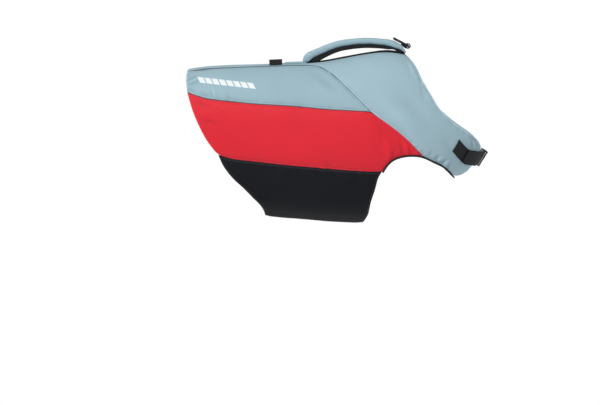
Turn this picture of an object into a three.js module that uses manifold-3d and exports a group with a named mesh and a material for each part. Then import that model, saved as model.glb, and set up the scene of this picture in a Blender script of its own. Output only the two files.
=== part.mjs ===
// A dog's life jacket in the shape it has when it is worn: foam panels sewn edge to edge
// round a hollow trunk, closed under the belly and by a buckled strap across the chest.
// Millimetres. +X points to the head, +Z up, the right side is -Y. The origin lies on the
// inside of the back, where the wearer carries the jacket.
import * as THREE from 'three';
import Module from 'manifold-3d';
import { mergeVertices } from 'three/addons/utils/BufferGeometryUtils.js';

const wasm = await Module();
wasm.setup();

// Driving sizes of the cloth
const SEAM_GAP = 0.3;
const YOKE_WALL = 12;
const YOKE_WALL_AT_CHEST = 8;
const YOKE_CROWN = 2.5;
const FLOAT_WALL = 10;
const FLOAT_CROWN = 4;
const BELLY_WALL = 4;
const BELLY_LAP = 20;
const BINDING_WIDTH = 2.5;
const BINDING_LIP = 0.6;
const WEBBING = 25;
const WEBBING_THICK = 2;
const SPINE_STRIP_HALF = 27;

// Grid counts, shared by the pieces on both sides of a seam
const ALONG = 18;
const ALONG_BELLY = 12;
const ALONG_ARMHOLE = ALONG - ALONG_BELLY;
const ALONG_TONGUE = 6;
const DOWN_UPPER = 6;
const DOWN_SIDE = 8;
const DOWN_BELLY = 8;
const ACROSS_YOKE = 6;

// Colours of the cloth and fittings
const PALE_BLUE = 0xa2bec7;
const RED = 0xda2c3c;
const BLACK = 0x222428;
const WEBBING_BLACK = 0x1d1f22;
const PLASTIC_BLACK = 0x16181b;
const CLOTH_ROUGHNESS = 0.8;
const PLASTIC_ROUGHNESS = 0.42;

// The trunk: one row for each slanted section, from the point on the spine to the one under it
const ROUNDNESS = 2.25;
const SECTIONS = [
  { topX: -361, topZ: -23, lowX: -209, lowZ: -289, half: 98 },
  { topX: -283, topZ: -7, lowX: -150, lowZ: -297, half: 106 },
  { topX: -205, topZ: -3, lowX: -95, lowZ: -302, half: 113 },
  { topX: -127, topZ: 0, lowX: -45, lowZ: -306, half: 119 },
  { topX: -53, topZ: 3, lowX: 5, lowZ: -309, half: 123 },
  { topX: 0, topZ: 12, lowX: 62, lowZ: -309, half: 124 },
  { topX: 39, topZ: 19, lowX: 122, lowZ: -300, half: 122 },
  { topX: 76, topZ: 24, lowX: 184, lowZ: -276, half: 116 },
  { topX: 98, topZ: 23, lowX: 232, lowZ: -238, half: 106 },
  { topX: 114, topZ: 19.5, lowX: 263, lowZ: -197, half: 97 },
  { topX: 127, topZ: 16.5, lowX: 281, lowZ: -150, half: 90 },
];
const LAST_SECTION = SECTIONS.length - 1;

// Smooth value of one column between the rows of a table
function along(rows, column, place) {
  const last = rows.length - 1;
  const row = Math.min(Math.floor(place), last - 1);
  const part = place - row;
  const slope = (k) => {
    const before = Math.max(k - 1, 0);
    const after = Math.min(k + 1, last);
    return (rows[after][column] - rows[before][column]) / (after - before);
  };
  const start = rows[row][column];
  const end = rows[row + 1][column];
  const square = part * part;
  const cube = square * part;
  return start * (2 * cube - 3 * square + 1) + slope(row) * (cube - 2 * square + part)
    + end * (3 * square - 2 * cube) + slope(row + 1) * (cube - square);
}

function sectionAt(place) {
  const inside = Math.min(Math.max(place, 0), LAST_SECTION);
  const read = (column) => along(SECTIONS, column, inside);
  return {
    topX: read('topX'),
    topZ: read('topZ'),
    lowX: read('lowX'),
    lowZ: read('lowZ'),
    half: read('half'),
  };
}

// A point of the trunk: place counts sections, angle turns from the spine down the right side
function onTrunk(place, angle) {
  const s = sectionAt(place);
  const c = Math.cos(angle);
  const q = Math.sin(angle);
  const round = (Math.abs(c) ** ROUNDNESS + Math.abs(q) ** ROUNDNESS) ** (-1 / ROUNDNESS);
  const up = (1 + round * c) / 2;
  return new THREE.Vector3(
    s.lowX + (s.topX - s.lowX) * up,
    -s.half * round * q,
    s.lowZ + (s.topZ - s.lowZ) * up,
  );
}

const STEP = 0.01;
const ON_MIDDLE = 1e-6;
const SAME_POINT = 1e-3;
const SEARCH_TURNS = 40;
const SAMPLES_PER_ROW = 40;

function outwardAt(place, angle) {
  const forward = onTrunk(Math.min(place + STEP, LAST_SECTION), angle);
  forward.sub(onTrunk(Math.max(place - STEP, 0), angle));
  const round = onTrunk(place, angle + STEP).sub(onTrunk(place, angle - STEP));
  return round.cross(forward).normalize();
}

function lifted(spot, height) {
  return onTrunk(spot.place, spot.angle).addScaledVector(outwardAt(spot.place, spot.angle), height);
}

// The spot on the right side that shows at x, z from the side
function fromSide({ x, z }) {
  let low = 0;
  let high = LAST_SECTION;
  for (let turn = 0; turn < SEARCH_TURNS; turn += 1) {
    const middle = (low + high) / 2;
    const s = sectionAt(middle);
    const ahead = (s.lowX - s.topX) * (z - s.topZ) - (s.lowZ - s.topZ) * (x - s.topX);
    if (ahead > 0) low = middle;
    else high = middle;
  }
  const s = sectionAt(low);
  const down = new THREE.Vector2(s.lowX - s.topX, s.lowZ - s.topZ);
  const share = new THREE.Vector2(x - s.topX, z - s.topZ).dot(down) / down.lengthSq();
  const up = THREE.MathUtils.clamp(1 - 2 * share, -0.9999, 0.9999);
  const wide = (1 - Math.abs(up) ** ROUNDNESS) ** (1 / ROUNDNESS);
  return { place: low, angle: Math.atan2(wide, up) };
}

// The spot near the spine at x and at a distance y to the right of it
function fromAbove({ x, y }) {
  let low = 0;
  let high = LAST_SECTION;
  let angle = 0;
  for (let turn = 0; turn < SEARCH_TURNS; turn += 1) {
    const middle = (low + high) / 2;
    angle = Math.asin(y / sectionAt(middle).half);
    if (onTrunk(middle, angle).x < x) low = middle;
    else high = middle;
  }
  return { place: low, angle };
}

const spotOf = (row) => ('z' in row ? fromSide(row) : fromAbove(row));

// Evenly spaced spots on the smooth line through a seam's rows, from one row to another
function stations(rows, from, to, count) {
  const spots = rows.map(spotOf).map((spot) => new THREE.Vector3(spot.place, spot.angle, 0));
  const line = new THREE.CatmullRomCurve3(spots, false, 'centripetal');
  const fine = SAMPLES_PER_ROW * (to - from);
  const samples = [];
  const lengths = [0];
  for (let k = 0; k <= fine; k += 1) {
    const t = (from + ((to - from) * k) / fine) / (rows.length - 1);
    const flat = line.getPoint(t);
    const sample = { place: flat.x, angle: flat.y, point: onTrunk(flat.x, flat.y) };
    if (k > 0) lengths.push(lengths[k - 1] + sample.point.distanceTo(samples[k - 1].point));
    samples.push(sample);
  }
  const result = [];
  let k = 0;
  for (let station = 0; station <= count; station += 1) {
    const wanted = (lengths[fine] * station) / count;
    while (k < fine - 1 && lengths[k + 1] < wanted) k += 1;
    const part = (wanted - lengths[k]) / (lengths[k + 1] - lengths[k]);
    result.push({
      place: THREE.MathUtils.lerp(samples[k].place, samples[k + 1].place, part),
      angle: THREE.MathUtils.lerp(samples[k].angle, samples[k + 1].angle, part),
    });
  }
  return result;
}

const joined = (first, second) => [...first, ...second.slice(1)];

// Fills the field between four edges: rows go down from top to bottom, columns forward
function field(top, bottom, rear, front) {
  const down = rear.length - 1;
  const forward = top.length - 1;
  const blend = (i, j, key) => {
    const a = i / down;
    const b = j / forward;
    const corners = (1 - a) * ((1 - b) * top[0][key] + b * top[forward][key])
      + a * ((1 - b) * bottom[0][key] + b * bottom[forward][key]);
    return (1 - a) * top[j][key] + a * bottom[j][key]
      + (1 - b) * rear[i][key] + b * front[i][key] - corners;
  };
  return rear.map((_, i) => top.map((__, j) => ({
    place: blend(i, j, 'place'),
    angle: blend(i, j, 'angle'),
  })));
}

// Small move along the cloth from each edge point of a field, half the gap of the seam
function insets(points, freeEdge) {
  const rows = points.length - 1;
  const columns = points[0].length - 1;
  const at = (i, j) => points[Math.min(Math.max(i, 0), rows)][Math.min(Math.max(j, 0), columns)];
  const aside = (i, j, di, dj) => {
    const inward = at(i + di, j + dj).clone().sub(at(i, j));
    const edge = at(i + dj, j + di).clone().sub(at(i - dj, j - di)).normalize();
    inward.addScaledVector(edge, -inward.dot(edge));
    return inward.setLength(SEAM_GAP / 2);
  };
  return points.map((line, i) => line.map((_, j) => {
    const move = new THREE.Vector3();
    if (i === 0 && freeEdge(j)) move.add(aside(i, j, 1, 0));
    if (i === rows) move.add(aside(i, j, -1, 0));
    if (j === 0) move.add(aside(i, j, 0, 1));
    if (j === columns) move.add(aside(i, j, 0, -1));
    return move;
  }));
}

// Closed sheet between an outer and an inner grid of points, with walls on its edges
class Sheet {
  constructor() {
    this.positions = [];
    this.triangles = [];
  }

  point(p) {
    this.positions.push(p.x, p.y, p.z);
    return this.positions.length / 3 - 1;
  }

  quad(a, b, c, d) {
    this.triangles.push(a, b, c, a, c, d);
  }

  add(outer, inner, wallOnTop = () => true) {
    const rows = outer.length - 1;
    const columns = outer[0].length - 1;
    const out = outer.map((line) => line.map((p) => this.point(p)));
    const into = inner.map((line) => line.map((p) => this.point(p)));
    for (let i = 0; i < rows; i += 1) {
      for (let j = 0; j < columns; j += 1) {
        this.quad(out[i][j], out[i + 1][j], out[i + 1][j + 1], out[i][j + 1]);
        this.quad(into[i][j], into[i][j + 1], into[i + 1][j + 1], into[i + 1][j]);
      }
      this.quad(out[i][0], into[i][0], into[i + 1][0], out[i + 1][0]);
      this.quad(out[i][columns], out[i + 1][columns], into[i + 1][columns], into[i][columns]);
    }
    for (let j = 0; j < columns; j += 1) {
      if (wallOnTop(j)) this.quad(out[0][j], out[0][j + 1], into[0][j + 1], into[0][j]);
      this.quad(out[rows][j], into[rows][j], into[rows][j + 1], out[rows][j + 1]);
    }
  }

  // The same sheet on the other side of the middle plane as well
  mirror() {
    const shift = this.positions.length / 3;
    const own = this.positions.slice();
    for (let k = 0; k < own.length; k += 3) this.positions.push(own[k], -own[k + 1], own[k + 2]);
    const turned = [];
    for (let k = 0; k < this.triangles.length; k += 3) {
      const [a, b, c] = this.triangles.slice(k, k + 3);
      turned.push(a + shift, c + shift, b + shift);
    }
    this.triangles.push(...turned);
  }

  geometry() {
    return closed(this.positions, this.triangles);
  }
}

function closed(positions, triangles) {
  const geometry = new THREE.BufferGeometry();
  geometry.setAttribute('position', new THREE.Float32BufferAttribute(positions, 3));
  geometry.setIndex(triangles);
  const merged = mergeVertices(geometry, SAME_POINT);
  merged.computeVertexNormals();
  return merged;
}

function flipped(geometry) {
  const other = geometry.clone().scale(1, -1, 1);
  const index = other.getIndex();
  for (let k = 0; k < index.count; k += 3) {
    const second = index.getX(k + 1);
    index.setX(k + 1, index.getX(k + 2));
    index.setX(k + 2, second);
  }
  other.computeVertexNormals();
  return other;
}

const jacket = new THREE.Group();

function piece(name, geometry, color, roughness = CLOTH_ROUGHNESS) {
  const material = new THREE.MeshStandardMaterial({ color, roughness, metalness: 0 });
  const mesh = new THREE.Mesh(geometry, material);
  mesh.name = name;
  jacket.add(mesh);
}

function pair(name, geometry, color) {
  piece(`${name}_right`, geometry, color);
  piece(`${name}_left`, flipped(geometry), color);
}

// Outer and inner grids over a field, and the sheet between them
function grids(spots, outerAt, innerAt, freeEdge = () => true) {
  const rows = spots.length - 1;
  const columns = spots[0].length - 1;
  const base = spots.map((line) => line.map((spot) => onTrunk(spot.place, spot.angle)));
  const moves = insets(base, freeEdge);
  const layer = (heightAt) => spots.map((line, i) => line.map((spot, j) => {
    const point = lifted(spot, heightAt(i / rows, j / columns)).add(moves[i][j]);
    if (Math.abs(base[i][j].y) < ON_MIDDLE) point.y = 0;
    return point;
  }));
  return [layer(outerAt), layer(innerAt)];
}

function panel(spots, outerAt, innerAt) {
  const sheet = new Sheet();
  sheet.add(...grids(spots, outerAt, innerAt));
  return sheet.geometry();
}

const dome = (a) => 1 - (2 * a - 1) ** 4;
const step = (from, to, value) => THREE.MathUtils.smoothstep(value, from, to);

// Seams and edges as they show from the right side. Near the spine y replaces z.
const LONG_SEAM = [
  { x: -309, y: SPINE_STRIP_HALF },
  { x: -267, y: SPINE_STRIP_HALF },
  { x: -203, y: SPINE_STRIP_HALF },
  { x: -123, y: SPINE_STRIP_HALF + 1 },
  { x: -80, y: SPINE_STRIP_HALF + 3 },
  { x: -57, y: 37 },
  { x: -36, z: -11 },
  { x: -22, z: -20 },
  { x: 2, z: -42 },
  { x: 32, z: -72 },
  { x: 50, z: -90 },
  { x: 76, z: -109 },
  { x: 103, z: -129 },
  { x: 127, z: -151 },
  { x: 152, z: -178 },
];
const SEAM_CORNER = 7;
const SEAM_MEETS_RED = 10;
const SEAM_END = LONG_SEAM.length - 1;

const CENTRE = [
  { x: -309, y: 0 },
  { x: -203, y: 0 },
  { x: -80, y: 0 },
  { x: 8, y: 0 },
  { x: 60, y: 0 },
  { x: 119, y: 0 },
];
const CENTRE_CORNER = 3;
const CENTRE_END = CENTRE.length - 1;

const NECK = [
  { x: 119, y: 0 },
  { x: 125, z: 15 },
  { x: 138, z: -1 },
  { x: 152, z: -33 },
  { x: 162, z: -48 },
  { x: 181, z: -82 },
  { x: 207, z: -108 },
  { x: 230, z: -126 },
  { x: 257, z: -144 },
  { x: 267, z: -161 },
];
const NECK_CORNER = 5;
const NECK_END = NECK.length - 1;

const TONGUE_END = [
  { x: 267, z: -161 },
  { x: 258, z: -186 },
  { x: 247, z: -202 },
  { x: 232, z: -217 },
  { x: 214, z: -220 },
];

const ARMHOLE = [
  { x: 72, z: -208 },
  { x: 79, z: -196 },
  { x: 91, z: -184 },
  { x: 105, z: -178 },
  { x: 126, z: -175 },
  { x: 152, z: -178 },
  { x: 172, z: -188 },
  { x: 192, z: -198 },
  { x: 207, z: -212 },
  { x: 214, z: -220 },
];
const ARMHOLE_CORNER = 5;
const ARMHOLE_END = ARMHOLE.length - 1;

const BLUE_RED_SEAM = [
  { x: -307, z: -54 },
  { x: -272, z: -65 },
  { x: -202, z: -73 },
  { x: -83, z: -81 },
  { x: -10, z: -87 },
  { x: 50, z: -90 },
];

const RED_BLACK_SEAM = [
  { x: -246, z: -177 },
  { x: -222, z: -183 },
  { x: -143, z: -192 },
  { x: -10, z: -204 },
  { x: 72, z: -208 },
];

const REAR_BLUE = [
  { x: -309, y: SPINE_STRIP_HALF },
  { x: -310, z: -32 },
  { x: -307, z: -54 },
];

const REAR_RED = [
  { x: -307, z: -54 },
  { x: -296, z: -90 },
  { x: -282, z: -122 },
  { x: -268, z: -148 },
  { x: -246, z: -177 },
];

const REAR_BLACK = [
  { x: -246, z: -177 },
  { x: -236, z: -198 },
  { x: -218, z: -222 },
  { x: -198, z: -241 },
  { x: -178, z: -263 },
  { x: -165, z: -276 },
  { x: -160, z: -287 },
];

const FRONT_BLACK = [
  { x: 72, z: -208 },
  { x: 64, z: -220 },
  { x: 59, z: -241 },
  { x: 51, z: -266 },
  { x: 48, z: -281 },
  { x: 45, z: -296 },
];

const whole = (rows, count) => stations(rows, 0, rows.length - 1, count);

// Yoke: spine strip, shoulders and chest fronts in one piece, mirrored at the middle plane
const yokeSeam = joined(
  joined(
    stations(LONG_SEAM, 0, SEAM_CORNER, ALONG),
    stations(LONG_SEAM, SEAM_CORNER, SEAM_MEETS_RED, DOWN_UPPER),
  ),
  stations(LONG_SEAM, SEAM_MEETS_RED, SEAM_END, DOWN_SIDE),
);
const yokeArmhole = stations(ARMHOLE, ARMHOLE_CORNER, ARMHOLE_END, ALONG_TONGUE);
const yokeOuterEdge = joined(yokeSeam, yokeArmhole);
const centreLine = joined(
  stations(CENTRE, 0, CENTRE_CORNER, ALONG),
  stations(CENTRE, CENTRE_CORNER, CENTRE_END, DOWN_UPPER),
);
const neckLine = joined(
  stations(NECK, 0, NECK_CORNER, DOWN_SIDE),
  stations(NECK, NECK_CORNER, NECK_END, ALONG_TONGUE),
);
const yokeInnerEdge = joined(centreLine, neckLine);
const NECK_START = ALONG + DOWN_UPPER;
const YOKE_STATIONS = yokeInnerEdge.length - 1;
const SHOULDER_START = ALONG / YOKE_STATIONS;
const CHEST_START = 1 - ALONG_TONGUE / YOKE_STATIONS;
const HANDLE_SHARE = 0.3;
const CROWN_FROM = SHOULDER_START;
const CROWN_FULL = SHOULDER_START + 0.2;
const CROWN_FADES = CHEST_START - 0.1;
const CROWN_GONE = CHEST_START + 0.05;

const yokeField = field(
  yokeInnerEdge,
  yokeOuterEdge,
  whole([CENTRE[0], LONG_SEAM[0]], ACROSS_YOKE),
  whole(TONGUE_END, ACROSS_YOKE),
);

function yokeOuter(a, b) {
  const shoulder = step(CROWN_FROM, CROWN_FULL, b) * (1 - step(CROWN_FADES, CROWN_GONE, b));
  const aside = Math.max(0, (a - HANDLE_SHARE) / (1 - HANDLE_SHARE));
  return YOKE_CROWN * dome(aside) * shoulder;
}

function yokeInner(a, b) {
  return -THREE.MathUtils.lerp(YOKE_WALL, YOKE_WALL_AT_CHEST, step(SHOULDER_START, 1, b));
}

const yokeSheet = new Sheet();
yokeSheet.add(
  ...grids(yokeField, yokeOuter, yokeInner, (j) => j > NECK_START),
  (j) => j >= NECK_START,
);
yokeSheet.mirror();
piece('yoke', yokeSheet.geometry(), PALE_BLUE);

// Upper side panels
const floatOuter = (a, b) => FLOAT_CROWN * dome(a) * dome(b);
const floatInner = () => -FLOAT_WALL;

const blueRed = whole(BLUE_RED_SEAM, ALONG);
const upperField = field(
  yokeSeam.slice(0, ALONG + 1),
  blueRed,
  whole(REAR_BLUE, DOWN_UPPER),
  yokeSeam.slice(ALONG, ALONG + DOWN_UPPER + 1),
);
pair('upper_side', panel(upperField, floatOuter, floatInner), PALE_BLUE);

// Red side panels, cut away at the front for the armhole
const redBlack = whole(RED_BLACK_SEAM, ALONG_BELLY);
const sideArmhole = stations(ARMHOLE, 0, ARMHOLE_CORNER, ALONG_ARMHOLE);
const sideField = field(
  blueRed,
  joined(redBlack, sideArmhole),
  whole(REAR_RED, DOWN_SIDE),
  yokeSeam.slice(ALONG + DOWN_UPPER),
);
pair('side', panel(sideField, floatOuter, floatInner), RED);

// Belly panels: the right one laps over the left one under the belly
const upperBelly = field(
  redBlack,
  whole([REAR_BLACK.at(-1), FRONT_BLACK.at(-1)], ALONG_BELLY),
  whole(REAR_BLACK, DOWN_BELLY),
  whole(FRONT_BLACK, DOWN_BELLY),
);
const lapAngle = BELLY_LAP / SECTIONS[3].half;
const KEEL = [
  { angle: Math.PI - 2 * lapAngle, cornerBack: 0.09 },
  { angle: Math.PI - 1.15 * lapAngle, cornerBack: 0.18 },
  { angle: Math.PI, cornerBack: 0.27 },
  { angle: Math.PI + lapAngle, cornerBack: 0.27 },
];

function keelRow({ angle, cornerBack }) {
  return upperBelly.at(-1).map((spot, j) => ({
    place: spot.place - cornerBack * (j / ALONG_BELLY) ** 6,
    angle,
  }));
}

const bellyField = [...upperBelly, ...KEEL.map(keelRow)];
const RAISED_FROM = (DOWN_BELLY + 1) / (bellyField.length - 1);
const RAISED_TO = (DOWN_BELLY + 2) / (bellyField.length - 1);
const lapLift = (a) => (BELLY_WALL + SEAM_GAP) * step(RAISED_FROM, RAISED_TO, a);

piece(
  'belly_right',
  panel(bellyField, lapLift, (a) => lapLift(a) - BELLY_WALL),
  BLACK,
);
piece(
  'belly_left',
  flipped(panel(bellyField, () => 0, () => -BELLY_WALL)),
  BLACK,
);

// Narrow binding round the armhole, just past the edges of the side panel and the yoke
const armholeLine = joined(sideArmhole, yokeArmhole);

function bindingSheet() {
  const points = armholeLine.map((spot) => onTrunk(spot.place, spot.angle));
  const last = points.length - 1;
  const corner = (j, aside, height) => {
    const spot = armholeLine[j];
    const ahead = points[Math.min(j + 1, last)].clone().sub(points[Math.max(j - 1, 0)]);
    const normal = outwardAt(spot.place, spot.angle);
    const into = ahead.cross(normal).normalize();
    return lifted(spot, height).addScaledVector(into, aside);
  };
  const near = SEAM_GAP / 2;
  const far = near + BINDING_WIDTH;
  const line = (aside, height) => points.map((_, j) => corner(j, aside, height));
  const sheet = new Sheet();
  sheet.add(
    [line(near, BINDING_LIP), line(far, BINDING_LIP)],
    [line(near, -FLOAT_WALL - BINDING_LIP), line(far, -FLOAT_WALL - BINDING_LIP)],
  );
  return sheet.geometry();
}
pair('armhole_binding', bindingSheet(), WEBBING_BLACK);

// Flat piece that lies along the spine between two stations, bent over the back
function spineTape({ rear, front, half, thick, steps }) {
  const across = [1, 0.5, 0, -0.5, -1];
  const lines = across.map((share) => {
    const line = [];
    for (let k = 0; k <= steps; k += 1) {
      const x = THREE.MathUtils.lerp(rear, front, k / steps);
      const spot = fromAbove({ x, y: half * Math.abs(share) });
      line.push({ place: spot.place, angle: -spot.angle * Math.sign(share) });
    }
    return line;
  });
  const sheet = new Sheet();
  const layer = (height) => lines.map((line) => line.map((spot) => lifted(spot, height)));
  sheet.add(layer(SEAM_GAP + thick), layer(SEAM_GAP));
  return sheet.geometry();
}

const HANDLE_BASE = { rear: -74, front: 117.5, half: 16, thick: WEBBING_THICK, steps: 13 };
const SPINE_STRIP = { rear: -118, front: -75.5, half: 19, thick: 3, steps: 4 };
piece('handle_base', spineTape(HANDLE_BASE), WEBBING_BLACK);
piece('spine_strip', spineTape(SPINE_STRIP), PALE_BLUE);

// Height at which a piece rests on what is sewn along the spine
function restHeight(x, y = 0) {
  const under = x < HANDLE_BASE.rear ? SPINE_STRIP : HANDLE_BASE;
  return lifted(fromAbove({ x, y: Math.abs(y) }), 2 * SEAM_GAP + under.thick).z;
}

// Handle from the side: its underside, the line between webbing and sleeve, and its top
const HANDLE = [
  { lowX: -74, lowZ: 0, midX: -77, midZ: 5.5, topX: -83, topZ: 9 },
  { lowX: -66, lowZ: 0, midX: -70, midZ: 8, topX: -80.5, topZ: 15.5 },
  { lowX: -56, lowZ: 3, midX: -60, midZ: 13, topX: -71, topZ: 22.5 },
  { lowX: -41, lowZ: 12, midX: -45, midZ: 20.5, topX: -52, topZ: 31 },
  { lowX: -22, lowZ: 22, midX: -25, midZ: 29, topX: -29, topZ: 40 },
  { lowX: 0, lowZ: 29, midX: -2, midZ: 35.7, topX: -4, topZ: 46.5 },
  { lowX: 36, lowZ: 33.5, midX: 37, midZ: 40, topX: 37, topZ: 50.5 },
  { lowX: 66, lowZ: 32, midX: 69, midZ: 38.3, topX: 72, topZ: 49 },
  { lowX: 84, lowZ: 29.5, midX: 88, midZ: 35, topX: 93, topZ: 45.8 },
  { lowX: 100, lowZ: 26.2, midX: 104, midZ: 30, topX: 109, topZ: 37.5 },
  { lowX: 111, lowZ: 0, midX: 113.5, midZ: 25.5, topX: 117, topZ: 29 },
  { lowX: 117.5, lowZ: 0, midX: 118.5, midZ: 21.6, topX: 120, topZ: 23 },
];
const HANDLE_LAST = HANDLE.length - 1;
const HANDLE_STEPS = 30;
const STRAP_HALF = 17;
const SLEEVE_HALF = 20;
const SLEEVE_SIDES = 14;
const SLEEVE_END_HALF = 0.6;
const SLEEVE_END_STEPS = 2.5;
const SLEEVE_SIDE_POWER = 0.6;
const SLEEVE_TOP_POWER = 0.75;

function handleAt(place) {
  const at = Math.min(Math.max(place, 0), HANDLE_LAST);
  const point = (x, z, thick) => {
    const placed = new THREE.Vector3(along(HANDLE, x, at), 0, along(HANDLE, z, at));
    placed.z = Math.max(placed.z, restHeight(placed.x) + thick);
    return placed;
  };
  return {
    low: point('lowX', 'lowZ', 0),
    mid: point('midX', 'midZ', WEBBING_THICK),
    top: point('topX', 'topZ', WEBBING_THICK),
  };
}

const handlePlaces = Array.from(
  { length: HANDLE_STEPS + 1 },
  (_, k) => (HANDLE_LAST * k) / HANDLE_STEPS,
);

function handleStrap() {
  const line = (y, level) => handlePlaces.map((place) => handleAt(place)[level].setY(y));
  const sheet = new Sheet();
  sheet.add(
    [line(STRAP_HALF, 'mid'), line(-STRAP_HALF, 'mid')],
    [line(STRAP_HALF, 'low'), line(-STRAP_HALF, 'low')],
  );
  return sheet.geometry();
}
piece('handle_strap', handleStrap(), WEBBING_BLACK);

// Tube through a list of rings of points, with flat ends or closed on itself
function tube(rings, loop) {
  const positions = [];
  const triangles = [];
  const sides = rings[0].length;
  rings.forEach((ring) => ring.forEach((p) => positions.push(p.x, p.y, p.z)));
  const last = loop ? rings.length : rings.length - 1;
  for (let k = 0; k < last; k += 1) {
    const next = (k + 1) % rings.length;
    for (let side = 0; side < sides; side += 1) {
      const beside = (side + 1) % sides;
      const a = k * sides + side;
      const b = k * sides + beside;
      const c = next * sides + beside;
      const d = next * sides + side;
      triangles.push(a, b, c, a, c, d);
    }
  }
  if (!loop) {
    const end = (rings.length - 1) * sides;
    for (let side = 1; side < sides - 1; side += 1) {
      triangles.push(0, side + 1, side);
      triangles.push(end, end + side, end + side + 1);
    }
  }
  return closed(positions, triangles);
}

const signedPower = (value, power) => Math.sign(value) * Math.abs(value) ** power;

// The sleeve's cross-section stands on the webbing and narrows towards both ends
function sleeveRing(place, k) {
  const { mid, top } = handleAt(place);
  const ahead = handleAt(place + STEP).mid.sub(handleAt(place - STEP).mid).normalize();
  const start = mid.clone().add(new THREE.Vector3(-ahead.z, 0, ahead.x).multiplyScalar(SEAM_GAP));
  const up = top.sub(start);
  const fromEnd = Math.min(k, HANDLE_STEPS - k, SLEEVE_END_STEPS) / SLEEVE_END_STEPS;
  const round = Math.sqrt(1 - (1 - fromEnd) ** 2);
  const half = SLEEVE_HALF * THREE.MathUtils.lerp(SLEEVE_END_HALF, 1, round);
  return Array.from({ length: SLEEVE_SIDES }, (_, side) => {
    const angle = (side / SLEEVE_SIDES) * 2 * Math.PI;
    const y = signedPower(Math.cos(angle), SLEEVE_SIDE_POWER) * half;
    const high = (1 + signedPower(Math.sin(angle), SLEEVE_TOP_POWER)) / 2;
    const point = start.clone().addScaledVector(up, high).setY(y);
    point.z = Math.max(point.z, restHeight(point.x, y) + SEAM_GAP);
    return point;
  });
}

const sleeve = () => tube(handlePlaces.map(sleeveRing), false);
piece('handle_sleeve', sleeve(), PALE_BLUE);

// Leash ring: a D whose straight bar turns in a loop of webbing
const BAR = new THREE.Vector3(124, 0, 34.5);
const RING_RADIUS = 2.4;
const RING_HALF = 16.5;
const RING_LENGTH = 31;
const RING_CORNER = 4;
const RING_SLOPE = THREE.MathUtils.degToRad(28);
const RING_STEPS = 44;
const RING_SIDES = 8;

function ringPath() {
  const path = new THREE.Path();
  const round = RING_LENGTH - RING_HALF;
  path.moveTo(0, -RING_HALF + RING_CORNER);
  path.lineTo(0, RING_HALF - RING_CORNER);
  path.absarc(RING_CORNER, RING_HALF - RING_CORNER, RING_CORNER, Math.PI, Math.PI / 2, true);
  path.lineTo(round, RING_HALF);
  path.absarc(round, 0, RING_HALF, Math.PI / 2, -Math.PI / 2, true);
  path.lineTo(RING_CORNER, -RING_HALF);
  path.absarc(RING_CORNER, -RING_HALF + RING_CORNER, RING_CORNER, -Math.PI / 2, -Math.PI, true);
  return path;
}

function leashRing() {
  const flat = ringPath().getSpacedPoints(RING_STEPS).slice(0, -1);
  const rings = flat.map((point, k) => {
    const before = flat[(k + flat.length - 1) % flat.length];
    const after = flat[(k + 1) % flat.length];
    const across = new THREE.Vector2(before.y - after.y, after.x - before.x).normalize();
    const ring = [];
    for (let side = 0; side < RING_SIDES; side += 1) {
      const angle = ((side + 0.5) / RING_SIDES) * 2 * Math.PI;
      const aside = RING_RADIUS * Math.cos(angle);
      const up = -RING_RADIUS * Math.sin(angle);
      ring.push(new THREE.Vector3(-point.x - aside * across.x, point.y + aside * across.y, up));
    }
    return ring;
  });
  const geometry = tube(rings, true);
  geometry.rotateY(RING_SLOPE);
  return geometry.translate(BAR.x, BAR.y, BAR.z);
}
piece('leash_ring', leashRing(), PLASTIC_BLACK, PLASTIC_ROUGHNESS);

// Tab: webbing sewn to the front slope of the sleeve, led round the bar and back
const TAB_HOLE = 3.3;
const TAB_LOOP = TAB_HOLE + WEBBING_THICK;
const TAB_OFF_SLEEVE = 0.8;
const TAB_ARC_FROM = THREE.MathUtils.degToRad(-100);
const TAB_ARC_TO = THREE.MathUtils.degToRad(108);
const TAB_CURVE_STEPS = 12;

function leashTab() {
  const [upper, lower] = HANDLE.slice(-3, -1).map((row) => new THREE.Vector2(row.topX, row.topZ));
  const off = new THREE.Vector2(upper.y - lower.y, lower.x - upper.x).setLength(TAB_OFF_SLEEVE);
  upper.add(off);
  lower.add(off);
  const outline = new THREE.Shape();
  outline.moveTo(upper.x, upper.y);
  outline.lineTo(lower.x, lower.y);
  outline.absarc(BAR.x, BAR.z, TAB_LOOP, TAB_ARC_FROM, TAB_ARC_TO, false);
  const hole = new THREE.Path();
  hole.absarc(BAR.x, BAR.z, TAB_HOLE, 0, 2 * Math.PI, true);
  outline.holes.push(hole);
  const geometry = new THREE.ExtrudeGeometry(outline, {
    depth: WEBBING,
    bevelEnabled: false,
    curveSegments: TAB_CURVE_STEPS,
  });
  geometry.deleteAttribute('normal');
  geometry.deleteAttribute('uv');
  geometry.rotateX(Math.PI / 2);
  geometry.translate(0, WEBBING / 2, 0);
  const solid = mergeVertices(geometry, SAME_POINT);
  solid.computeVertexNormals();
  return solid;
}
piece('leash_tab', leashTab(), WEBBING_BLACK);

// Small loop of webbing that crosses the spine
const LOOP_X = -136;
const LOOP_HALF = 22;
const LOOP_FOOT = 5;
const LOOP_SLOPE = 9;
const LOOP_RISE = 6.6;
const LOOP_THICK = 1.6;
const LOOP_STEPS = 16;

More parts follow.
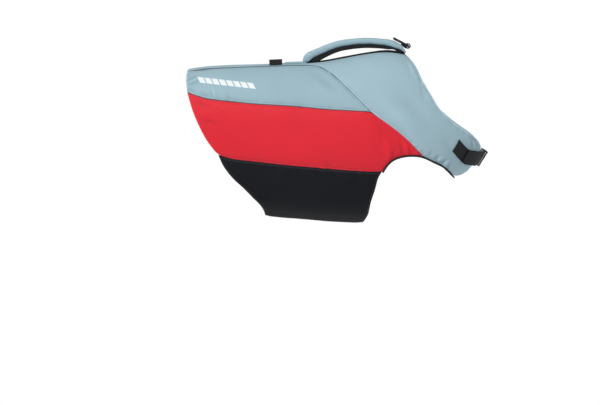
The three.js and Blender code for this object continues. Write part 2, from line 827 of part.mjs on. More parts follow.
function backLoop() {
  const line = (x, height) => {
    const points = [];
    for (let k = 0; k <= LOOP_STEPS; k += 1) {
      const y = THREE.MathUtils.lerp(LOOP_HALF, -LOOP_HALF, k / LOOP_STEPS);
      const spot = fromAbove({ x, y: Math.abs(y) });
      spot.angle *= -Math.sign(y);
      const rise = LOOP_RISE * step(0, LOOP_SLOPE, LOOP_HALF - LOOP_FOOT - Math.abs(y));
      points.push(lifted(spot, height + rise));
    }
    return points;
  };
  const front = LOOP_X + WEBBING / 2;
  const rear = LOOP_X - WEBBING / 2;
  const low = SEAM_GAP;
  const high = SEAM_GAP + LOOP_THICK;
  const sheet = new Sheet();
  sheet.add([line(front, high), line(rear, high)], [line(front, low), line(rear, low)]);
  return sheet.geometry();
}
piece('back_loop', backLoop(), WEBBING_BLACK);

// Chest buckle: its long way runs across the chest, its face looks forward and a little down
const BUCKLE_CENTRE = new THREE.Vector3(265.5, 0, -183);
const BUCKLE_TILT = THREE.MathUtils.degToRad(32);
const BUCKLE_HALF_LENGTH = 31;
const BUCKLE_HALF_HEIGHT = 16.5;
const BUCKLE_THICK = 11;
const BUCKLE_SPLIT = 6;
const SLOT_DEEP = 8;
const SLOT_CLEAR = 0.5;

// Blocks of the buckle, from and to along its length
const SOCKET_BODY = {
  from: -BUCKLE_HALF_LENGTH,
  to: BUCKLE_SPLIT,
  halfHeight: BUCKLE_HALF_HEIGHT,
  thick: BUCKLE_THICK,
  radius: 3,
};
const SOCKET_MOUTH = { from: -12, to: BUCKLE_SPLIT + 5, halfHeight: 13, thick: 5.5, radius: 1 };
const SOCKET_WINDOWS = { from: -9, to: 1, halfHeight: 18.5, thick: 5, radius: 1.5 };
const PLUG_HEAD = { ...SOCKET_BODY, from: BUCKLE_SPLIT + SEAM_GAP, to: BUCKLE_HALF_LENGTH };
const PLUG_GUIDE = { from: -10, to: BUCKLE_SPLIT + 4, halfHeight: 3, thick: 4, radius: 0.8 };
const PLUG_ARM = { from: -4, to: BUCKLE_SPLIT + 4, halfHeight: 1.3, thick: 4, radius: 0.5 };
const PLUG_CATCH = { from: -8, to: -2, halfHeight: 3.6, thick: 4, radius: 1 };
const ARM_ASIDE = 10.5;
const CATCH_ASIDE = 12.4;

function solidOf(geometry) {
  const plain = geometry.clone();
  plain.deleteAttribute('normal');
  plain.deleteAttribute('uv');
  const merged = mergeVertices(plain, SAME_POINT);
  return new wasm.Manifold(new wasm.Mesh({
    numProp: 3,
    vertProperties: new Float32Array(merged.getAttribute('position').array),
    triVerts: new Uint32Array(merged.getIndex().array),
  }));
}

function geometryOf(solid) {
  const mesh = solid.getMesh();
  return closed(Array.from(mesh.vertProperties), Array.from(mesh.triVerts));
}

// Block along the buckle, with its corners rounded when seen from the front
function block({ from, to, halfHeight, thick, radius: r }, aside = 0) {
  const shape = new THREE.Shape();
  const w = (to - from) / 2;
  shape.moveTo(-w + r, -halfHeight);
  shape.lineTo(w - r, -halfHeight);
  shape.absarc(w - r, -halfHeight + r, r, -Math.PI / 2, 0, false);
  shape.lineTo(w, halfHeight - r);
  shape.absarc(w - r, halfHeight - r, r, 0, Math.PI / 2, false);
  shape.lineTo(-w + r, halfHeight);
  shape.absarc(-w + r, halfHeight - r, r, Math.PI / 2, Math.PI, false);
  shape.lineTo(-w, -halfHeight + r);
  shape.absarc(-w + r, -halfHeight + r, r, Math.PI, 1.5 * Math.PI, false);
  const geometry = new THREE.ExtrudeGeometry(shape, {
    depth: thick,
    bevelEnabled: false,
    curveSegments: 4,
  });
  return solidOf(geometry.translate((from + to) / 2, aside, -thick / 2));
}

// Turns a shape drawn with its length on X, height on Y and face on +Z into the chest's frame
function onChest(geometry) {
  const matrix = new THREE.Matrix4();
  const face = new THREE.Vector3(Math.cos(BUCKLE_TILT), 0, -Math.sin(BUCKLE_TILT));
  const height = new THREE.Vector3(Math.sin(BUCKLE_TILT), 0, Math.cos(BUCKLE_TILT));
  matrix.makeBasis(new THREE.Vector3(0, 1, 0), height, face);
  matrix.setPosition(BUCKLE_CENTRE);
  return geometry.applyMatrix4(matrix);
}

function strapSlot(side) {
  const high = WEBBING + 2 * SLOT_CLEAR;
  const thick = WEBBING_THICK + 2 * SLOT_CLEAR;
  const slot = new THREE.BoxGeometry(2 * SLOT_DEEP, high, thick);
  return solidOf(slot.translate(side * BUCKLE_HALF_LENGTH, 0, 0));
}

function buckleSocket() {
  const hollow = block(SOCKET_MOUTH).add(block(SOCKET_WINDOWS)).add(strapSlot(-1));
  return onChest(geometryOf(block(SOCKET_BODY).subtract(hollow)));
}

function bucklePlug() {
  let plug = block(PLUG_HEAD).add(block(PLUG_GUIDE)).subtract(strapSlot(1));
  [-1, 1].forEach((side) => {
    plug = plug.add(block(PLUG_ARM, side * ARM_ASIDE)).add(block(PLUG_CATCH, side * CATCH_ASIDE));
  });
  return onChest(geometryOf(plug));
}
piece('buckle_socket', buckleSocket(), PLASTIC_BLACK, PLASTIC_ROUGHNESS);
piece('buckle_plug', bucklePlug(), PLASTIC_BLACK, PLASTIC_ROUGHNESS);

// Chest strap: sewn to the yoke's chest front, then free for a short way into the buckle
const STRAP_UPPER = [
  { x: 221, z: -146 },
  { x: 231, z: -158 },
  { x: 240, z: -166 },
  { x: 252, z: -169 },
  { x: 261, z: -171 },
];
const STRAP_LOWER = [
  { x: 208, z: -168 },
  { x: 219, z: -181 },
  { x: 229, z: -191 },
  { x: 242, z: -194 },
  { x: 252, z: -196 },
];
const STRAP_STEPS = 10;
const STRAP_LIFT = 0.9;

function chestStrap() {
  const edges = [whole(STRAP_UPPER, STRAP_STEPS), whole(STRAP_LOWER, STRAP_STEPS)];
  const middle = edges[0].map((spot, k) => ({
    place: (spot.place + edges[1][k].place) / 2,
    angle: (spot.angle + edges[1][k].angle) / 2,
  }));
  const lines = [edges[0], middle, edges[1]];
  const face = new THREE.Vector3(Math.cos(BUCKLE_TILT), 0, -Math.sin(BUCKLE_TILT));
  const height = new THREE.Vector3(Math.sin(BUCKLE_TILT), 0, Math.cos(BUCKLE_TILT));
  const free = [BUCKLE_HALF_LENGTH + 2, BUCKLE_HALF_LENGTH - SLOT_DEEP + SLOT_CLEAR];
  const layer = (lift, depth) => lines.map((line, row) => {
    const points = line.map((spot) => lifted(spot, lift));
    free.forEach((y) => {
      const point = BUCKLE_CENTRE.clone().setY(-y);
      point.addScaledVector(height, ((1 - row) * WEBBING) / 2);
      points.push(point.addScaledVector(face, depth));
    });
    return points;
  });
  const outer = layer(STRAP_LIFT + WEBBING_THICK, WEBBING_THICK / 2);
  const inner = layer(STRAP_LIFT, -WEBBING_THICK / 2);
  const sheet = new Sheet();
  sheet.add(outer, inner);
  return sheet.geometry();
}
pair('chest_strap', chestStrap(), WEBBING_BLACK);

export default jacket;
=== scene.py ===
# %% [markdown]
# # A dog's life jacket
# The jacket is foam panels sewn edge to edge round a hollow trunk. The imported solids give
# every panel its true place and size, so the work here is what the hand and the eye add:
# rolled edges, puckers, creases, webbing, thread and finish. Everything is in metres.

# %% Load the solids
import math

import bmesh
import bpy
from mathutils import Matrix, Vector, noise
from mathutils.bvhtree import BVHTree
from mathutils.kdtree import KDTree


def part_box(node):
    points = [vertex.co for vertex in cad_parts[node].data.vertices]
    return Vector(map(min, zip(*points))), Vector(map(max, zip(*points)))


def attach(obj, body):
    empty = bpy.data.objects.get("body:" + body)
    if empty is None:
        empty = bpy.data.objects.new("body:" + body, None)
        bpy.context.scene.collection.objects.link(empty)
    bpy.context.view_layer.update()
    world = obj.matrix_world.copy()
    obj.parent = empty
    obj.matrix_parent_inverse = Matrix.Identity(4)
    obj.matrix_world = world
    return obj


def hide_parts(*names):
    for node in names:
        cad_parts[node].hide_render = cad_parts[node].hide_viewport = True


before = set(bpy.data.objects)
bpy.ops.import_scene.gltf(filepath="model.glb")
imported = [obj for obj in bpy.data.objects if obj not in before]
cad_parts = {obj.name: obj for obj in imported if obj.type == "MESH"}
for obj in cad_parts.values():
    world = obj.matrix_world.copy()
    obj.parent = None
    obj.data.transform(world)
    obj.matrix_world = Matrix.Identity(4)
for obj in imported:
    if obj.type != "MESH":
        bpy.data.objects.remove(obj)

bpy.context.view_layer.update()
MM = 0.001

# %% [markdown]
# ## The camera
# The photograph looks at the right side from far away and a touch above, so a long lens
# stands six metres off and tilts down by two and a half degrees. The jacket isn't in the
# middle of the picture, and a small lens shift frames it there without turning the camera.

# %% Camera
PIXELS_WIDE = 600
MM_PER_PIXEL = 1.95
FAR = 6.0
TILT = math.radians(2.5)
AXIS_POINT = Vector((-0.015, -0.060, -0.120))
AXIS_PIXEL = (337.3, 125.7)
MIDDLE_PIXEL = (300, 202.5)

camera_data = bpy.data.cameras.new("camera")
camera_data.sensor_width = 36
camera_data.lens = 36 * FAR / (PIXELS_WIDE * MM_PER_PIXEL * MM)
camera_data.shift_x = (MIDDLE_PIXEL[0] - AXIS_PIXEL[0]) / PIXELS_WIDE
camera_data.shift_y = (AXIS_PIXEL[1] - MIDDLE_PIXEL[1]) / PIXELS_WIDE
camera_data.clip_end = 8000
camera = bpy.data.objects.new("camera", camera_data)
bpy.context.scene.collection.objects.link(camera)
camera.location = AXIS_POINT + FAR * Vector((0, -math.cos(TILT), math.sin(TILT)))
camera.rotation_euler = (math.pi / 2 - TILT, 0, 0)
bpy.context.scene.camera = camera
print("lens in mm:", round(camera_data.lens, 1))

# %% [markdown]
# ## Tools for the finishes
# A colour is picked as the sRGB hex that a paint chart would give and has to become linear
# light. One helper adds any node with its settings, its colour stops and its links.

# %% Colour and node helpers
def colour(code):
    channels = [int(code[k:k + 2], 16) / 255 for k in (0, 2, 4)]
    linear = [c / 12.92 if c <= 0.04045 else ((c + 0.055) / 1.055) ** 2.4 for c in channels]
    return (*linear, 1)


def add(tree, kind, inputs, stops=(), **settings):
    made = tree.nodes.new("ShaderNode" + kind)
    for name, value in settings.items():
        setattr(made, name, value)
    while len(stops) > len(made.color_ramp.elements if stops else ()):
        made.color_ramp.elements.new(0.5)
    for k, (place, value) in enumerate(stops):
        made.color_ramp.elements[k].position = place
        made.color_ramp.elements[k].color = (value, value, value, 1)
    for key, value in inputs.items():
        if isinstance(value, bpy.types.NodeSocket):
            tree.links.new(value, made.inputs[key])
        else:
            made.inputs[key].default_value = value
    return made


def new_material(name, **sockets):
    material = bpy.data.materials.new(name)
    material.use_nodes = True
    shader = material.node_tree.nodes["Principled BSDF"]
    for key, value in sockets.items():
        shader.inputs[key.replace("_", " ")].default_value = value
    return material, material.node_tree, shader


print("a middle grey in linear light:", round(colour("808080")[0], 3))

# %% [markdown]
# ## Woven nylon
# The shell is 420 denier nylon: a plain weave with a thread about every 0.45 mm, dyed, and
# coated on its back. At this distance the weave is only a fine grain, so it is drawn with a
# 1.3 mm spacing. Each piece carries an attribute named cloth: how far along the jacket, how
# far round it, and how far from the nearest seam. The seam is painted as a dark line of shadow,
# a fainter painted shadow follows the row of stitches, and between them the thick turned edge
# gets a painted highlight. A second one named fold says how high or deep a fold is: ridges get a
# painted highlight and troughs a painted shade.

# %% The woven finish
WEAVE = 1.3 * MM
RIM_SCALE = 10 * MM
CLOUD_SCALE, GRAIN_SCALE = 14.0, 900.0
# The last of these tones sets the painted shade in the troughs of folds and the painted highlight on their
# ridges
EVEN_TONE, CLOUD_TONE, GRAIN_TONE, WEAVE_TONE, FOLD_LIGHT_AND_SHADE = 0.90, 0.10, 0.10, 0.03, 0.14
THREAD_TONE = 0.14
THREAD_SHADOW = (0.01, 0.01, 0.012, 1)
SEAM_SHADOW = (0.005, 0.006, 0.008, 1)

# Bands across a seam, by the distance from it in hundredths of a metre
EDGE_BANDS = {
    "light": [(0.10, 0), (0.17, 1), (0.27, 1), (0.36, 0)],
    "dark": [(0.0, 1), (0.05, 1), (0.11, 0)],
    "thread": [(0.26, 0), (0.31, 1), (0.35, 1), (0.40, 0)],
    "groove": [(0.0, 0), (0.14, 1), (0.25, 1), (0.33, 0.35), (0.42, 1)],
}


def woven(name, base, edge_light, seam_dark, spacing, relief, **sockets):
    material, tree, shader = new_material(name, **sockets)
    cloth = add(tree, "Attribute", {}, attribute_name="cloth", attribute_type="GEOMETRY")
    parts = add(tree, "SeparateXYZ", {0: cloth.outputs["Vector"]}).outputs
    waves = []
    for part in parts[:2]:
        turns = add(tree, "Math", {0: part, 1: 2 * math.pi / spacing}, operation="MULTIPLY")
        waves.append(add(tree, "Math", {0: turns.outputs[0]}, operation="SINE").outputs[0])
    weave = add(tree, "Math", {0: waves[0], 1: waves[1]}, operation="MULTIPLY").outputs[0]
    place = add(tree, "TexCoord", {}).outputs["Object"]
    cloud = add(tree, "TexNoise", {"Vector": place, "Scale": CLOUD_SCALE, "Detail": 3.0}).outputs["Fac"]
    grain = add(tree, "TexNoise", {"Vector": place, "Scale": GRAIN_SCALE, "Detail": 1.0}).outputs["Fac"]
    # The fold attribute paints shade into the troughs of folds and a highlight onto their ridges
    fold = add(tree, "Attribute", {}, attribute_name="fold", attribute_type="GEOMETRY").outputs["Fac"]
    shade = EVEN_TONE
    for part, share in ((cloud, CLOUD_TONE), (grain, GRAIN_TONE), (weave, WEAVE_TONE), (fold, FOLD_LIGHT_AND_SHADE)):
        shade = add(tree, "Math", {0: part, 1: share, 2: shade}, operation="MULTIPLY_ADD").outputs[0]
    tone = add(tree, "Mix", {0: 1.0, 6: colour(base), 7: shade}, data_type="RGBA", blend_type="MULTIPLY")
    rim = add(tree, "Math", {0: parts[2], 1: 1 / RIM_SCALE}, operation="MULTIPLY").outputs[0]
    bands = {band: add(tree, "ValToRGB", {"Fac": rim}, stops=stops).outputs["Color"]
             for band, stops in EDGE_BANDS.items()}
    paler = [min(1, 1.7 * c + 0.03) for c in colour(base)[:3]] + [1]
    for band, share, tint in (("light", edge_light, paler), ("thread", THREAD_TONE, THREAD_SHADOW),
                              ("dark", seam_dark, SEAM_SHADOW)):
        amount = add(tree, "Math", {0: bands[band], 1: share}, operation="MULTIPLY").outputs[0]
        tone = add(tree, "Mix", {0: amount, 6: tone.outputs[2], 7: tint}, data_type="RGBA")
    height = add(tree, "Math", {0: weave, 1: 0.12, 2: bands["groove"]}, operation="MULTIPLY_ADD").outputs[0]
    bump = add(tree, "Bump", {"Height": height, "Distance": relief, "Strength": 0.6})
    tree.links.new(tone.outputs[2], shader.inputs["Base Color"])
    tree.links.new(bump.outputs[0], shader.inputs["Normal"])
    return material, tree, shader


print("bands across a seam:", sorted(EDGE_BANDS))

# %% [markdown]
# ## Three cloths
# The pale blue and the red cloth are one nylon in two dyes. The belly is a rubber foam with a
# knitted face, duller and darker than either.

# %% Nylon and laminate
CLOTH_SHEEN = dict(Roughness=0.66, Sheen_Weight=0.09, Sheen_Roughness=0.45, Specular_IOR_Level=0.3)
# Dyed, coated oxford nylon: matt, even colour with a faint sheen at grazing angles and a fine grain
blue_nylon, _, _ = woven("pale_blue_oxford_nylon", "8ca6b0", 0.35, 0.62, WEAVE, 0.5 * MM, **CLOTH_SHEEN)
# The same cloth dyed red: a strong even red that stays matt where it turns away
red_nylon, _, _ = woven("red_oxford_nylon", "c71326", 0.30, 0.62, WEAVE, 0.5 * MM, **CLOTH_SHEEN)
# Knitted nylon glued to rubber foam: a deep dull black with hardly a highlight. Its knit is
# 0.3 mm, too fine to show, so it is drawn three times as coarse.
KNIT = 0.9 * MM
laminate, _, _ = woven(
    "black_stretch_laminate", "17181c", 0.3, 0.5, KNIT, 0.4 * MM,
    Roughness=0.85, Sheen_Weight=0.02, Sheen_Roughness=0.5, Specular_IOR_Level=0.08,
)
print("cloth finishes:", blue_nylon.name, red_nylon.name, laminate.name)

# %% [markdown]
# ## A printed mark on the upper panel
# The real panel carries a pale print near its rear end. This one has a plain bar of
# reflective film there, cut in slanted segments, as many pieces of safety clothing have. It
# is part of the panel's finish, so a second nylon is made with the film mixed into it.

# %% Nylon with a reflective bar
BAR_REAR = Vector((-0.285, -0.030))
BAR_FRONT = Vector((-0.172, -0.042))
BAR_SEGMENTS = 8
BAR_HALF = 5.2 * MM
BAR_PITCH = 14 * MM
BAR_SLANT = 0.7
BAR_FILLED = 0.82

# The same nylon with heat-set reflective film: nearly white segments, smoother than the cloth
film_nylon, film_tree, film_shader = woven(
    "pale_blue_oxford_nylon_with_film", "87a2ac", 0.35, 0.62, WEAVE, 0.5 * MM, **CLOTH_SHEEN,
)

bar_length = BAR_SEGMENTS * BAR_PITCH
bar_turn = math.atan2(BAR_FRONT.y - BAR_REAR.y, BAR_FRONT.x - BAR_REAR.x)
spot = add(film_tree, "SeparateXYZ", {0: add(film_tree, "TexCoord", {}).outputs["Object"]}).outputs
results = {"x": spot[0], "z": spot[2]}
# Each step: the name of its result, the operation, and its values or earlier results
BAR_STEPS = (
    ("from_x", "SUBTRACT", "x", BAR_REAR.x),
    ("from_z", "SUBTRACT", "z", BAR_REAR.y),
    ("x_ahead", "MULTIPLY", "from_x", math.cos(bar_turn)),
    ("x_aside", "MULTIPLY", "from_x", -math.sin(bar_turn)),
    ("along", "MULTIPLY_ADD", "from_z", math.sin(bar_turn), "x_ahead"),
    ("across", "MULTIPLY_ADD", "from_z", math.cos(bar_turn), "x_aside"),
    ("slanted", "MULTIPLY_ADD", "across", BAR_SLANT, "along"),
    ("off", "ABSOLUTE", "across"),
    ("in_width", "LESS_THAN", "off", BAR_HALF),
    ("after_start", "GREATER_THAN", "slanted", 0.0),
    ("before_end", "LESS_THAN", "slanted", bar_length),
    ("in_length", "MULTIPLY", "after_start", "before_end"),
    ("in_bar", "MULTIPLY", "in_width", "in_length"),
    ("pitches", "DIVIDE", "slanted", BAR_PITCH),
    ("segment", "FRACT", "pitches"),
    ("in_segment", "LESS_THAN", "segment", BAR_FILLED),
    ("film", "MULTIPLY", "in_bar", "in_segment"),
    ("gloss", "MULTIPLY_ADD", "film", -0.25, CLOTH_SHEEN["Roughness"]),
)
for result, operation, *values in BAR_STEPS:
    values = [results[v] if isinstance(v, str) else v for v in values]
    results[result] = add(film_tree, "Math", dict(enumerate(values)), operation=operation).outputs[0]
under_film = film_shader.inputs["Base Color"].links[0].from_socket
film_tone = add(
    film_tree, "Mix", {0: results["film"], 6: under_film, 7: colour("cfd5d5")}, data_type="RGBA",
)
film_tree.links.new(film_tone.outputs[2], film_shader.inputs["Base Color"])
film_tree.links.new(results["gloss"], film_shader.inputs["Roughness"])
print("reflective bar in mm:", round(bar_length / MM), "by", round(2 * BAR_HALF / MM, 1))

# %% [markdown]
# ## Webbing
# Webbing is woven narrow and thick, with ribs that run along it about 1.6 mm apart. Two sine
# waves on the cloth attribute draw them, one across the strap and a weaker one along it.

# %% Webbing
RIB = 1.6 * MM
WEFT = 1.1 * MM

# Woven polyester: black with slightly paler ribs, so a strap reads as ribbed, not as rubber
webbing_black, web_tree, web_shader = new_material(
    "black_polyester_webbing", Roughness=0.72, Sheen_Weight=0.05, Sheen_Roughness=0.4,
    Specular_IOR_Level=0.25,
)
web = add(web_tree, "Attribute", {}, attribute_name="cloth", attribute_type="GEOMETRY")
web_parts = add(web_tree, "SeparateXYZ", {0: web.outputs["Vector"]}).outputs
web_waves = []
for part, pitch in ((web_parts[1], RIB), (web_parts[0], WEFT)):
    turned = add(web_tree, "Math", {0: part, 1: 2 * math.pi / pitch}, operation="MULTIPLY")
    web_waves.append(add(web_tree, "Math", {0: turned.outputs[0]}, operation="SINE").outputs[0])
web_height = add(web_tree, "Math", {0: web_waves[1], 1: 0.35, 2: web_waves[0]}, operation="MULTIPLY_ADD")
web_factor = add(web_tree, "MapRange", {0: web_height.outputs[0], 1: -1.3, 2: 1.3}).outputs[0]
web_tone = add(
    web_tree, "Mix", {0: web_factor, 6: colour("0b0c0e"), 7: colour("1b1f23")}, data_type="RGBA",
)
web_bump = add(web_tree, "Bump", {"Height": web_height.outputs[0], "Distance": 0.25 * MM, "Strength": 0.7})
web_tree.links.new(web_tone.outputs[2], web_shader.inputs["Base Color"])
web_tree.links.new(web_bump.outputs[0], web_shader.inputs["Normal"])
print("ribs in mm:", round(RIB / MM, 1), "by", round(WEFT / MM, 1))

# %% [markdown]
# ## Acetal
# The buckle and ring are moulded acetal: black through and through, slightly waxy, with the
# fine spark texture of the mould. Thin pale grey beads carry a painted highlight on the buckle's edges.

# %% Acetal
# Injection-moulded acetal: black, with soft broad highlights along its rounded edges
acetal, acetal_tree, acetal_shader = new_material(
    "black_moulded_acetal", Roughness=0.34, Specular_IOR_Level=0.38, IOR=1.48,
)
acetal_place = add(acetal_tree, "TexCoord", {}).outputs["Object"]
spark_noise = add(acetal_tree, "TexNoise", {"Vector": acetal_place, "Scale": 1600.0, "Detail": 2.0})
spark = spark_noise.outputs["Fac"]
acetal_bump = add(acetal_tree, "Bump", {"Height": spark, "Distance": 0.05 * MM, "Strength": 0.5})
acetal_tone = add(
    acetal_tree, "Mix", {0: spark, 6: colour("0c0d0f"), 7: colour("17191c")}, data_type="RGBA",
)
acetal_tree.links.new(acetal_tone.outputs[2], acetal_shader.inputs["Base Color"])
acetal_tree.links.new(acetal_bump.outputs[0], acetal_shader.inputs["Normal"])

# Pale grey acetal as a painted highlight, which draws the rims of the buckle as lit edges
painted_highlight, highlight_tree, highlight_shader = new_material("acetal_edge_painted_highlight", Roughness=0.3, IOR=1.48)
highlight_place = add(highlight_tree, "TexCoord", {}).outputs["Object"]
# The pale grey here is a painted highlight, mottled a little by noise
highlight_mottle = add(highlight_tree, "TexNoise", {"Vector": highlight_place, "Scale": 300.0}).outputs["Fac"]
highlight_tone = add(
    highlight_tree, "Mix", {0: highlight_mottle, 6: colour("8a8e91"), 7: colour("b4b8ba")}, data_type="RGBA",
)
highlight_tree.links.new(highlight_tone.outputs[2], highlight_shader.inputs["Base Color"])
print("plastics:", acetal.name, painted_highlight.name)

# %% [markdown]
# ## Thread
# Thread is bonded polyester with a soft shine, dyed near the cloth that it sews.

# %% Thread
# Bonded polyester thread: a shade off the cloth, so a row reads as small separate dashes
THREADS = {}
for thread_name, thread_hex in (("pale", "8ba6b1"), ("red", "c81a2e"), ("black", "2a2c30")):
    thread, thread_tree, thread_shader = new_material(
        f"{thread_name}_polyester_thread", Roughness=0.5, Sheen_Weight=0.1,
    )
    thread_place = add(thread_tree, "TexCoord", {}).outputs["Object"]
    fuzz = add(thread_tree, "TexNoise", {"Vector": thread_place, "Scale": 700.0}).outputs["Fac"]
    darker = [0.75 * c for c in colour(thread_hex)[:3]] + [1]
    twist = add(thread_tree, "Mix", {0: fuzz, 6: darker, 7: colour(thread_hex)}, data_type="RGBA")
    thread_tree.links.new(twist.outputs[2], thread_shader.inputs["Base Color"])
    THREADS[thread_name] = thread
print("threads:", sorted(THREADS))

# %% [markdown]
# ## From solid to cloth
# A node's mesh is loose triangles, so a copy is merged and joined back to four-sided faces.
# Outward, away from the middle of the trunk, tells a panel's face from its walls.

# %% Copying a solid
SHARP = math.radians(50)
TRUNK_AXIS_Z = -0.150
GIRTH_RADIUS = 0.115


def cad_copy(node):
    copy = bmesh.new()
    copy.from_mesh(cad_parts[node].data)
    bmesh.ops.remove_doubles(copy, verts=copy.verts, dist=0.01 * MM)
    bmesh.ops.join_triangles(
        copy, faces=copy.faces, angle_face_threshold=math.radians(40), angle_shape_threshold=math.pi,
    )
    return copy


def outward(point):
    return Vector((0, point.y, point.z - TRUNK_AXIS_Z)).normalized()


def sharp_edges(copy):
    return [e for e in copy.edges if len(e.link_faces) == 2 and e.calc_face_angle(0) > SHARP]


def through_foam(edge):
    way = (edge.verts[1].co - edge.verts[0].co).normalized()
    return abs(way.dot(outward((edge.verts[0].co + edge.verts[1].co) / 2))) > 0.7


def edge_tree(points):
    tree = KDTree(len(points))
    for k, point in enumerate(points):
        tree.insert(point, k)
    tree.balance()
    return tree


yoke_try = cad_copy("yoke")
print("yoke: faces", len(yoke_try.faces), "sharp edges", len(sharp_edges(yoke_try)))
yoke_try.free()

# %% [markdown]
# ## Rounding
# The sharp edges are bevelled, because foam in a nylon shell has no corners. A finished mesh
# becomes an object in the collection, with its material, its body and the node it replaces.

# %% Rounding the edges
CORNER_REACH = 1.7


def rounded(copy, roll, segments=2, keep_corners=False):
    """Rolls the sharp edges over. A panel's corners stay square in plan, to meet their neighbours."""
    edge_crease = copy.edges.layers.float.new("crease_edge")
    point_crease = copy.verts.layers.float.new("crease_vert")
    edges = sharp_edges(copy)
    corners = []
    if keep_corners:
        for edge in edges:
            if through_foam(edge):
                edge[edge_crease] = 1.0
                corners.extend(v.co.copy() for v in edge.verts)
        edges = [e for e in edges if not through_foam(e)]
    bmesh.ops.bevel(
        copy, geom=edges, offset=roll, offset_type="OFFSET", segments=segments,
        profile=0.5, affect="EDGES", material=-1, clamp_overlap=True,
    )
    if corners:
        tree = edge_tree(corners)
        for vert in copy.verts:
            if tree.find(vert.co)[2] < CORNER_REACH * roll:
                vert[point_crease] = 1.0


def to_object(name, copy, material, body="jacket", slot=None, replaces=()):
    mesh = bpy.data.meshes.new(name)
    copy.to_mesh(mesh)
    copy.free()
    mesh.polygons.foreach_set("use_smooth", [True] * len(mesh.polygons))
    piece = bpy.data.objects.new(name, mesh)
    bpy.context.scene.collection.objects.link(piece)
    mesh.materials.append(material)
    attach(piece, body)
    for node in replaces:
        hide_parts(node)
    return piece


print("a corner is kept square within", CORNER_REACH, "times the bevel")

# %% [markdown]
# ## Smooth surfaces that keep their size
# A subdivision surface rounds the rest, but it also shrinks a piece. So the cage is pushed
# out by what was lost. The applied result is a fine mesh that folds can be put into.

# %% Subdividing
MOST_KEPT = 0.9 * MM


def subdivided(piece, levels):
    modifier = piece.modifiers.new("smooth", "SUBSURF")
    modifier.levels = modifier.render_levels = levels
    return piece


def swelled(copy, by):
    copy.normal_update()
    for vert in copy.verts:
        vert.co += vert.normal * by
    return copy


def size_kept(piece, turns=2):
    """Pushes the cage out by what the subdivision takes away, so the cloth keeps the solid's size."""
    wanted = [v.co.copy() for v in piece.data.vertices]
    given = [0.0] * len(wanted)
    for _ in range(turns):
        shown = piece.evaluated_get(bpy.context.evaluated_depsgraph_get())
        smooth = shown.to_mesh()
        gaps = [goal - now.co for goal, now in zip(wanted, smooth.vertices)]
        for k, (vert, gap) in enumerate(zip(piece.data.vertices, gaps)):
            step = min(0.85 * gap.length, MOST_KEPT - given[k])
            given[k] += step
            vert.co += gap.normalized() * step
        shown.to_mesh_clear()
        piece.data.update()
    return piece


def applied(piece):
    graph = bpy.context.evaluated_depsgraph_get()
    fine = bpy.data.meshes.new_from_object(piece.evaluated_get(graph), depsgraph=graph)
    coarse = piece.data
    fine.name = coarse.name
    piece.modifiers.clear()
    piece.data = fine
    bpy.data.meshes.remove(coarse)
    return piece


print("a cage point moves out by at most", MOST_KEPT / MM, "mm")

# %% [markdown]
# ## Where the edges run
# Stitches, puckers and the dark line of a seam all follow a panel's outer edge. The edge is
# read from the sharp edges between a panel's face and its wall, put in order, and broken
# where it turns a corner.

# %% Edge lines
CORNER = math.radians(42)


def edge_lines(copy):
    inner = {}
    for edge in sharp_edges(copy):
        middle = (edge.verts[0].co + edge.verts[1].co) / 2
        faces = [f for f in edge.link_faces if f.normal.dot(outward(middle)) > 0.5]
        if len(faces) == 1:
            inner[edge] = faces[0].calc_center_median()
    lines = []
    left = dict.fromkeys(inner)  # keeps the order of the edges, as a set wouldn't
    while left:
        edge = left.popitem()[0]
        chain = list(edge.verts)
        for end in (-1, 0):
            while True:
                nexts = [e for e in chain[end].link_edges if e in left]
                if not nexts:
                    break
                del left[nexts[0]]
                vert = nexts[0].other_vert(chain[end])
                chain.insert(len(chain) if end else 0, vert)
        points = [(v.co.copy(), sum((inner[e] for e in v.link_edges if e in inner), Vector())
                   / max(1, sum(e in inner for e in v.link_edges))) for v in chain]
        lines.extend(broken_at_corners(points))
    return lines


def broken_at_corners(points):
    lines = [[points[0]]]
    for before, here, after in zip(points, points[1:], points[2:]):
        lines[-1].append(here)
        if (here[0] - before[0]).angle(after[0] - here[0]) > CORNER:
            lines.append([here])
    lines[-1].append(points[-1])
    return lines


def spaced(line, pitch):
    """Even samples (point, direction, a point inside) on the smooth line through the corners."""
    fine = []
    for k in range(len(line) - 1):
        around = [line[min(max(k + d, 0), len(line) - 1)] for d in (-1, 0, 1, 2)]
        for step in range(12):
            t = step / 12
            weights = (-t + 2 * t * t - t ** 3, 2 - 5 * t * t + 3 * t ** 3,
                       t + 4 * t * t - 3 * t ** 3, -t * t + t ** 3)
            fine.append([sum((w * p[i] for w, p in zip(weights, around)), Vector()) / 2 for i in (0, 1)])
    fine.append(list(line[-1]))
    total = sum((b[0] - a[0]).length for a, b in zip(fine, fine[1:]))
    count = max(1, round(total / pitch))
    samples, walked, wanted = [], 0.0, total / count / 2
    for a, b in zip(fine, fine[1:]):
        length = (b[0] - a[0]).length
        while length > 0 and wanted <= walked + length:
            samples.append((a[0].lerp(b[0], (wanted - walked) / length), (b[0] - a[0]).normalized(), a[1]))
            wanted += total / count
        walked += length
    return samples


PANEL_NODES = ("yoke", "upper_side_right", "upper_side_left", "side_right", "side_left",
               "belly_right", "belly_left")
panel_lines = {node: edge_lines(cad_copy(node)) for node in PANEL_NODES}
rim_points = {node: [s[0] for line in lines for s in spaced(line, 1.5 * MM)]
              for node, lines in panel_lines.items()}
print("edge lines of each panel:", {node: len(lines) for node, lines in panel_lines.items()})

# %% [markdown]
# ## One crease
# A crease is a soft trough or ridge from one place to another as seen from the side, in
# millimetres, on the shown side of the jacket or on the hidden one. Its depth falls off
# smoothly to both sides and towards its ends.

# %% The depth of creases
SHOWN, HIDDEN = -1, 1
FOLD_DEPTH = 1.5


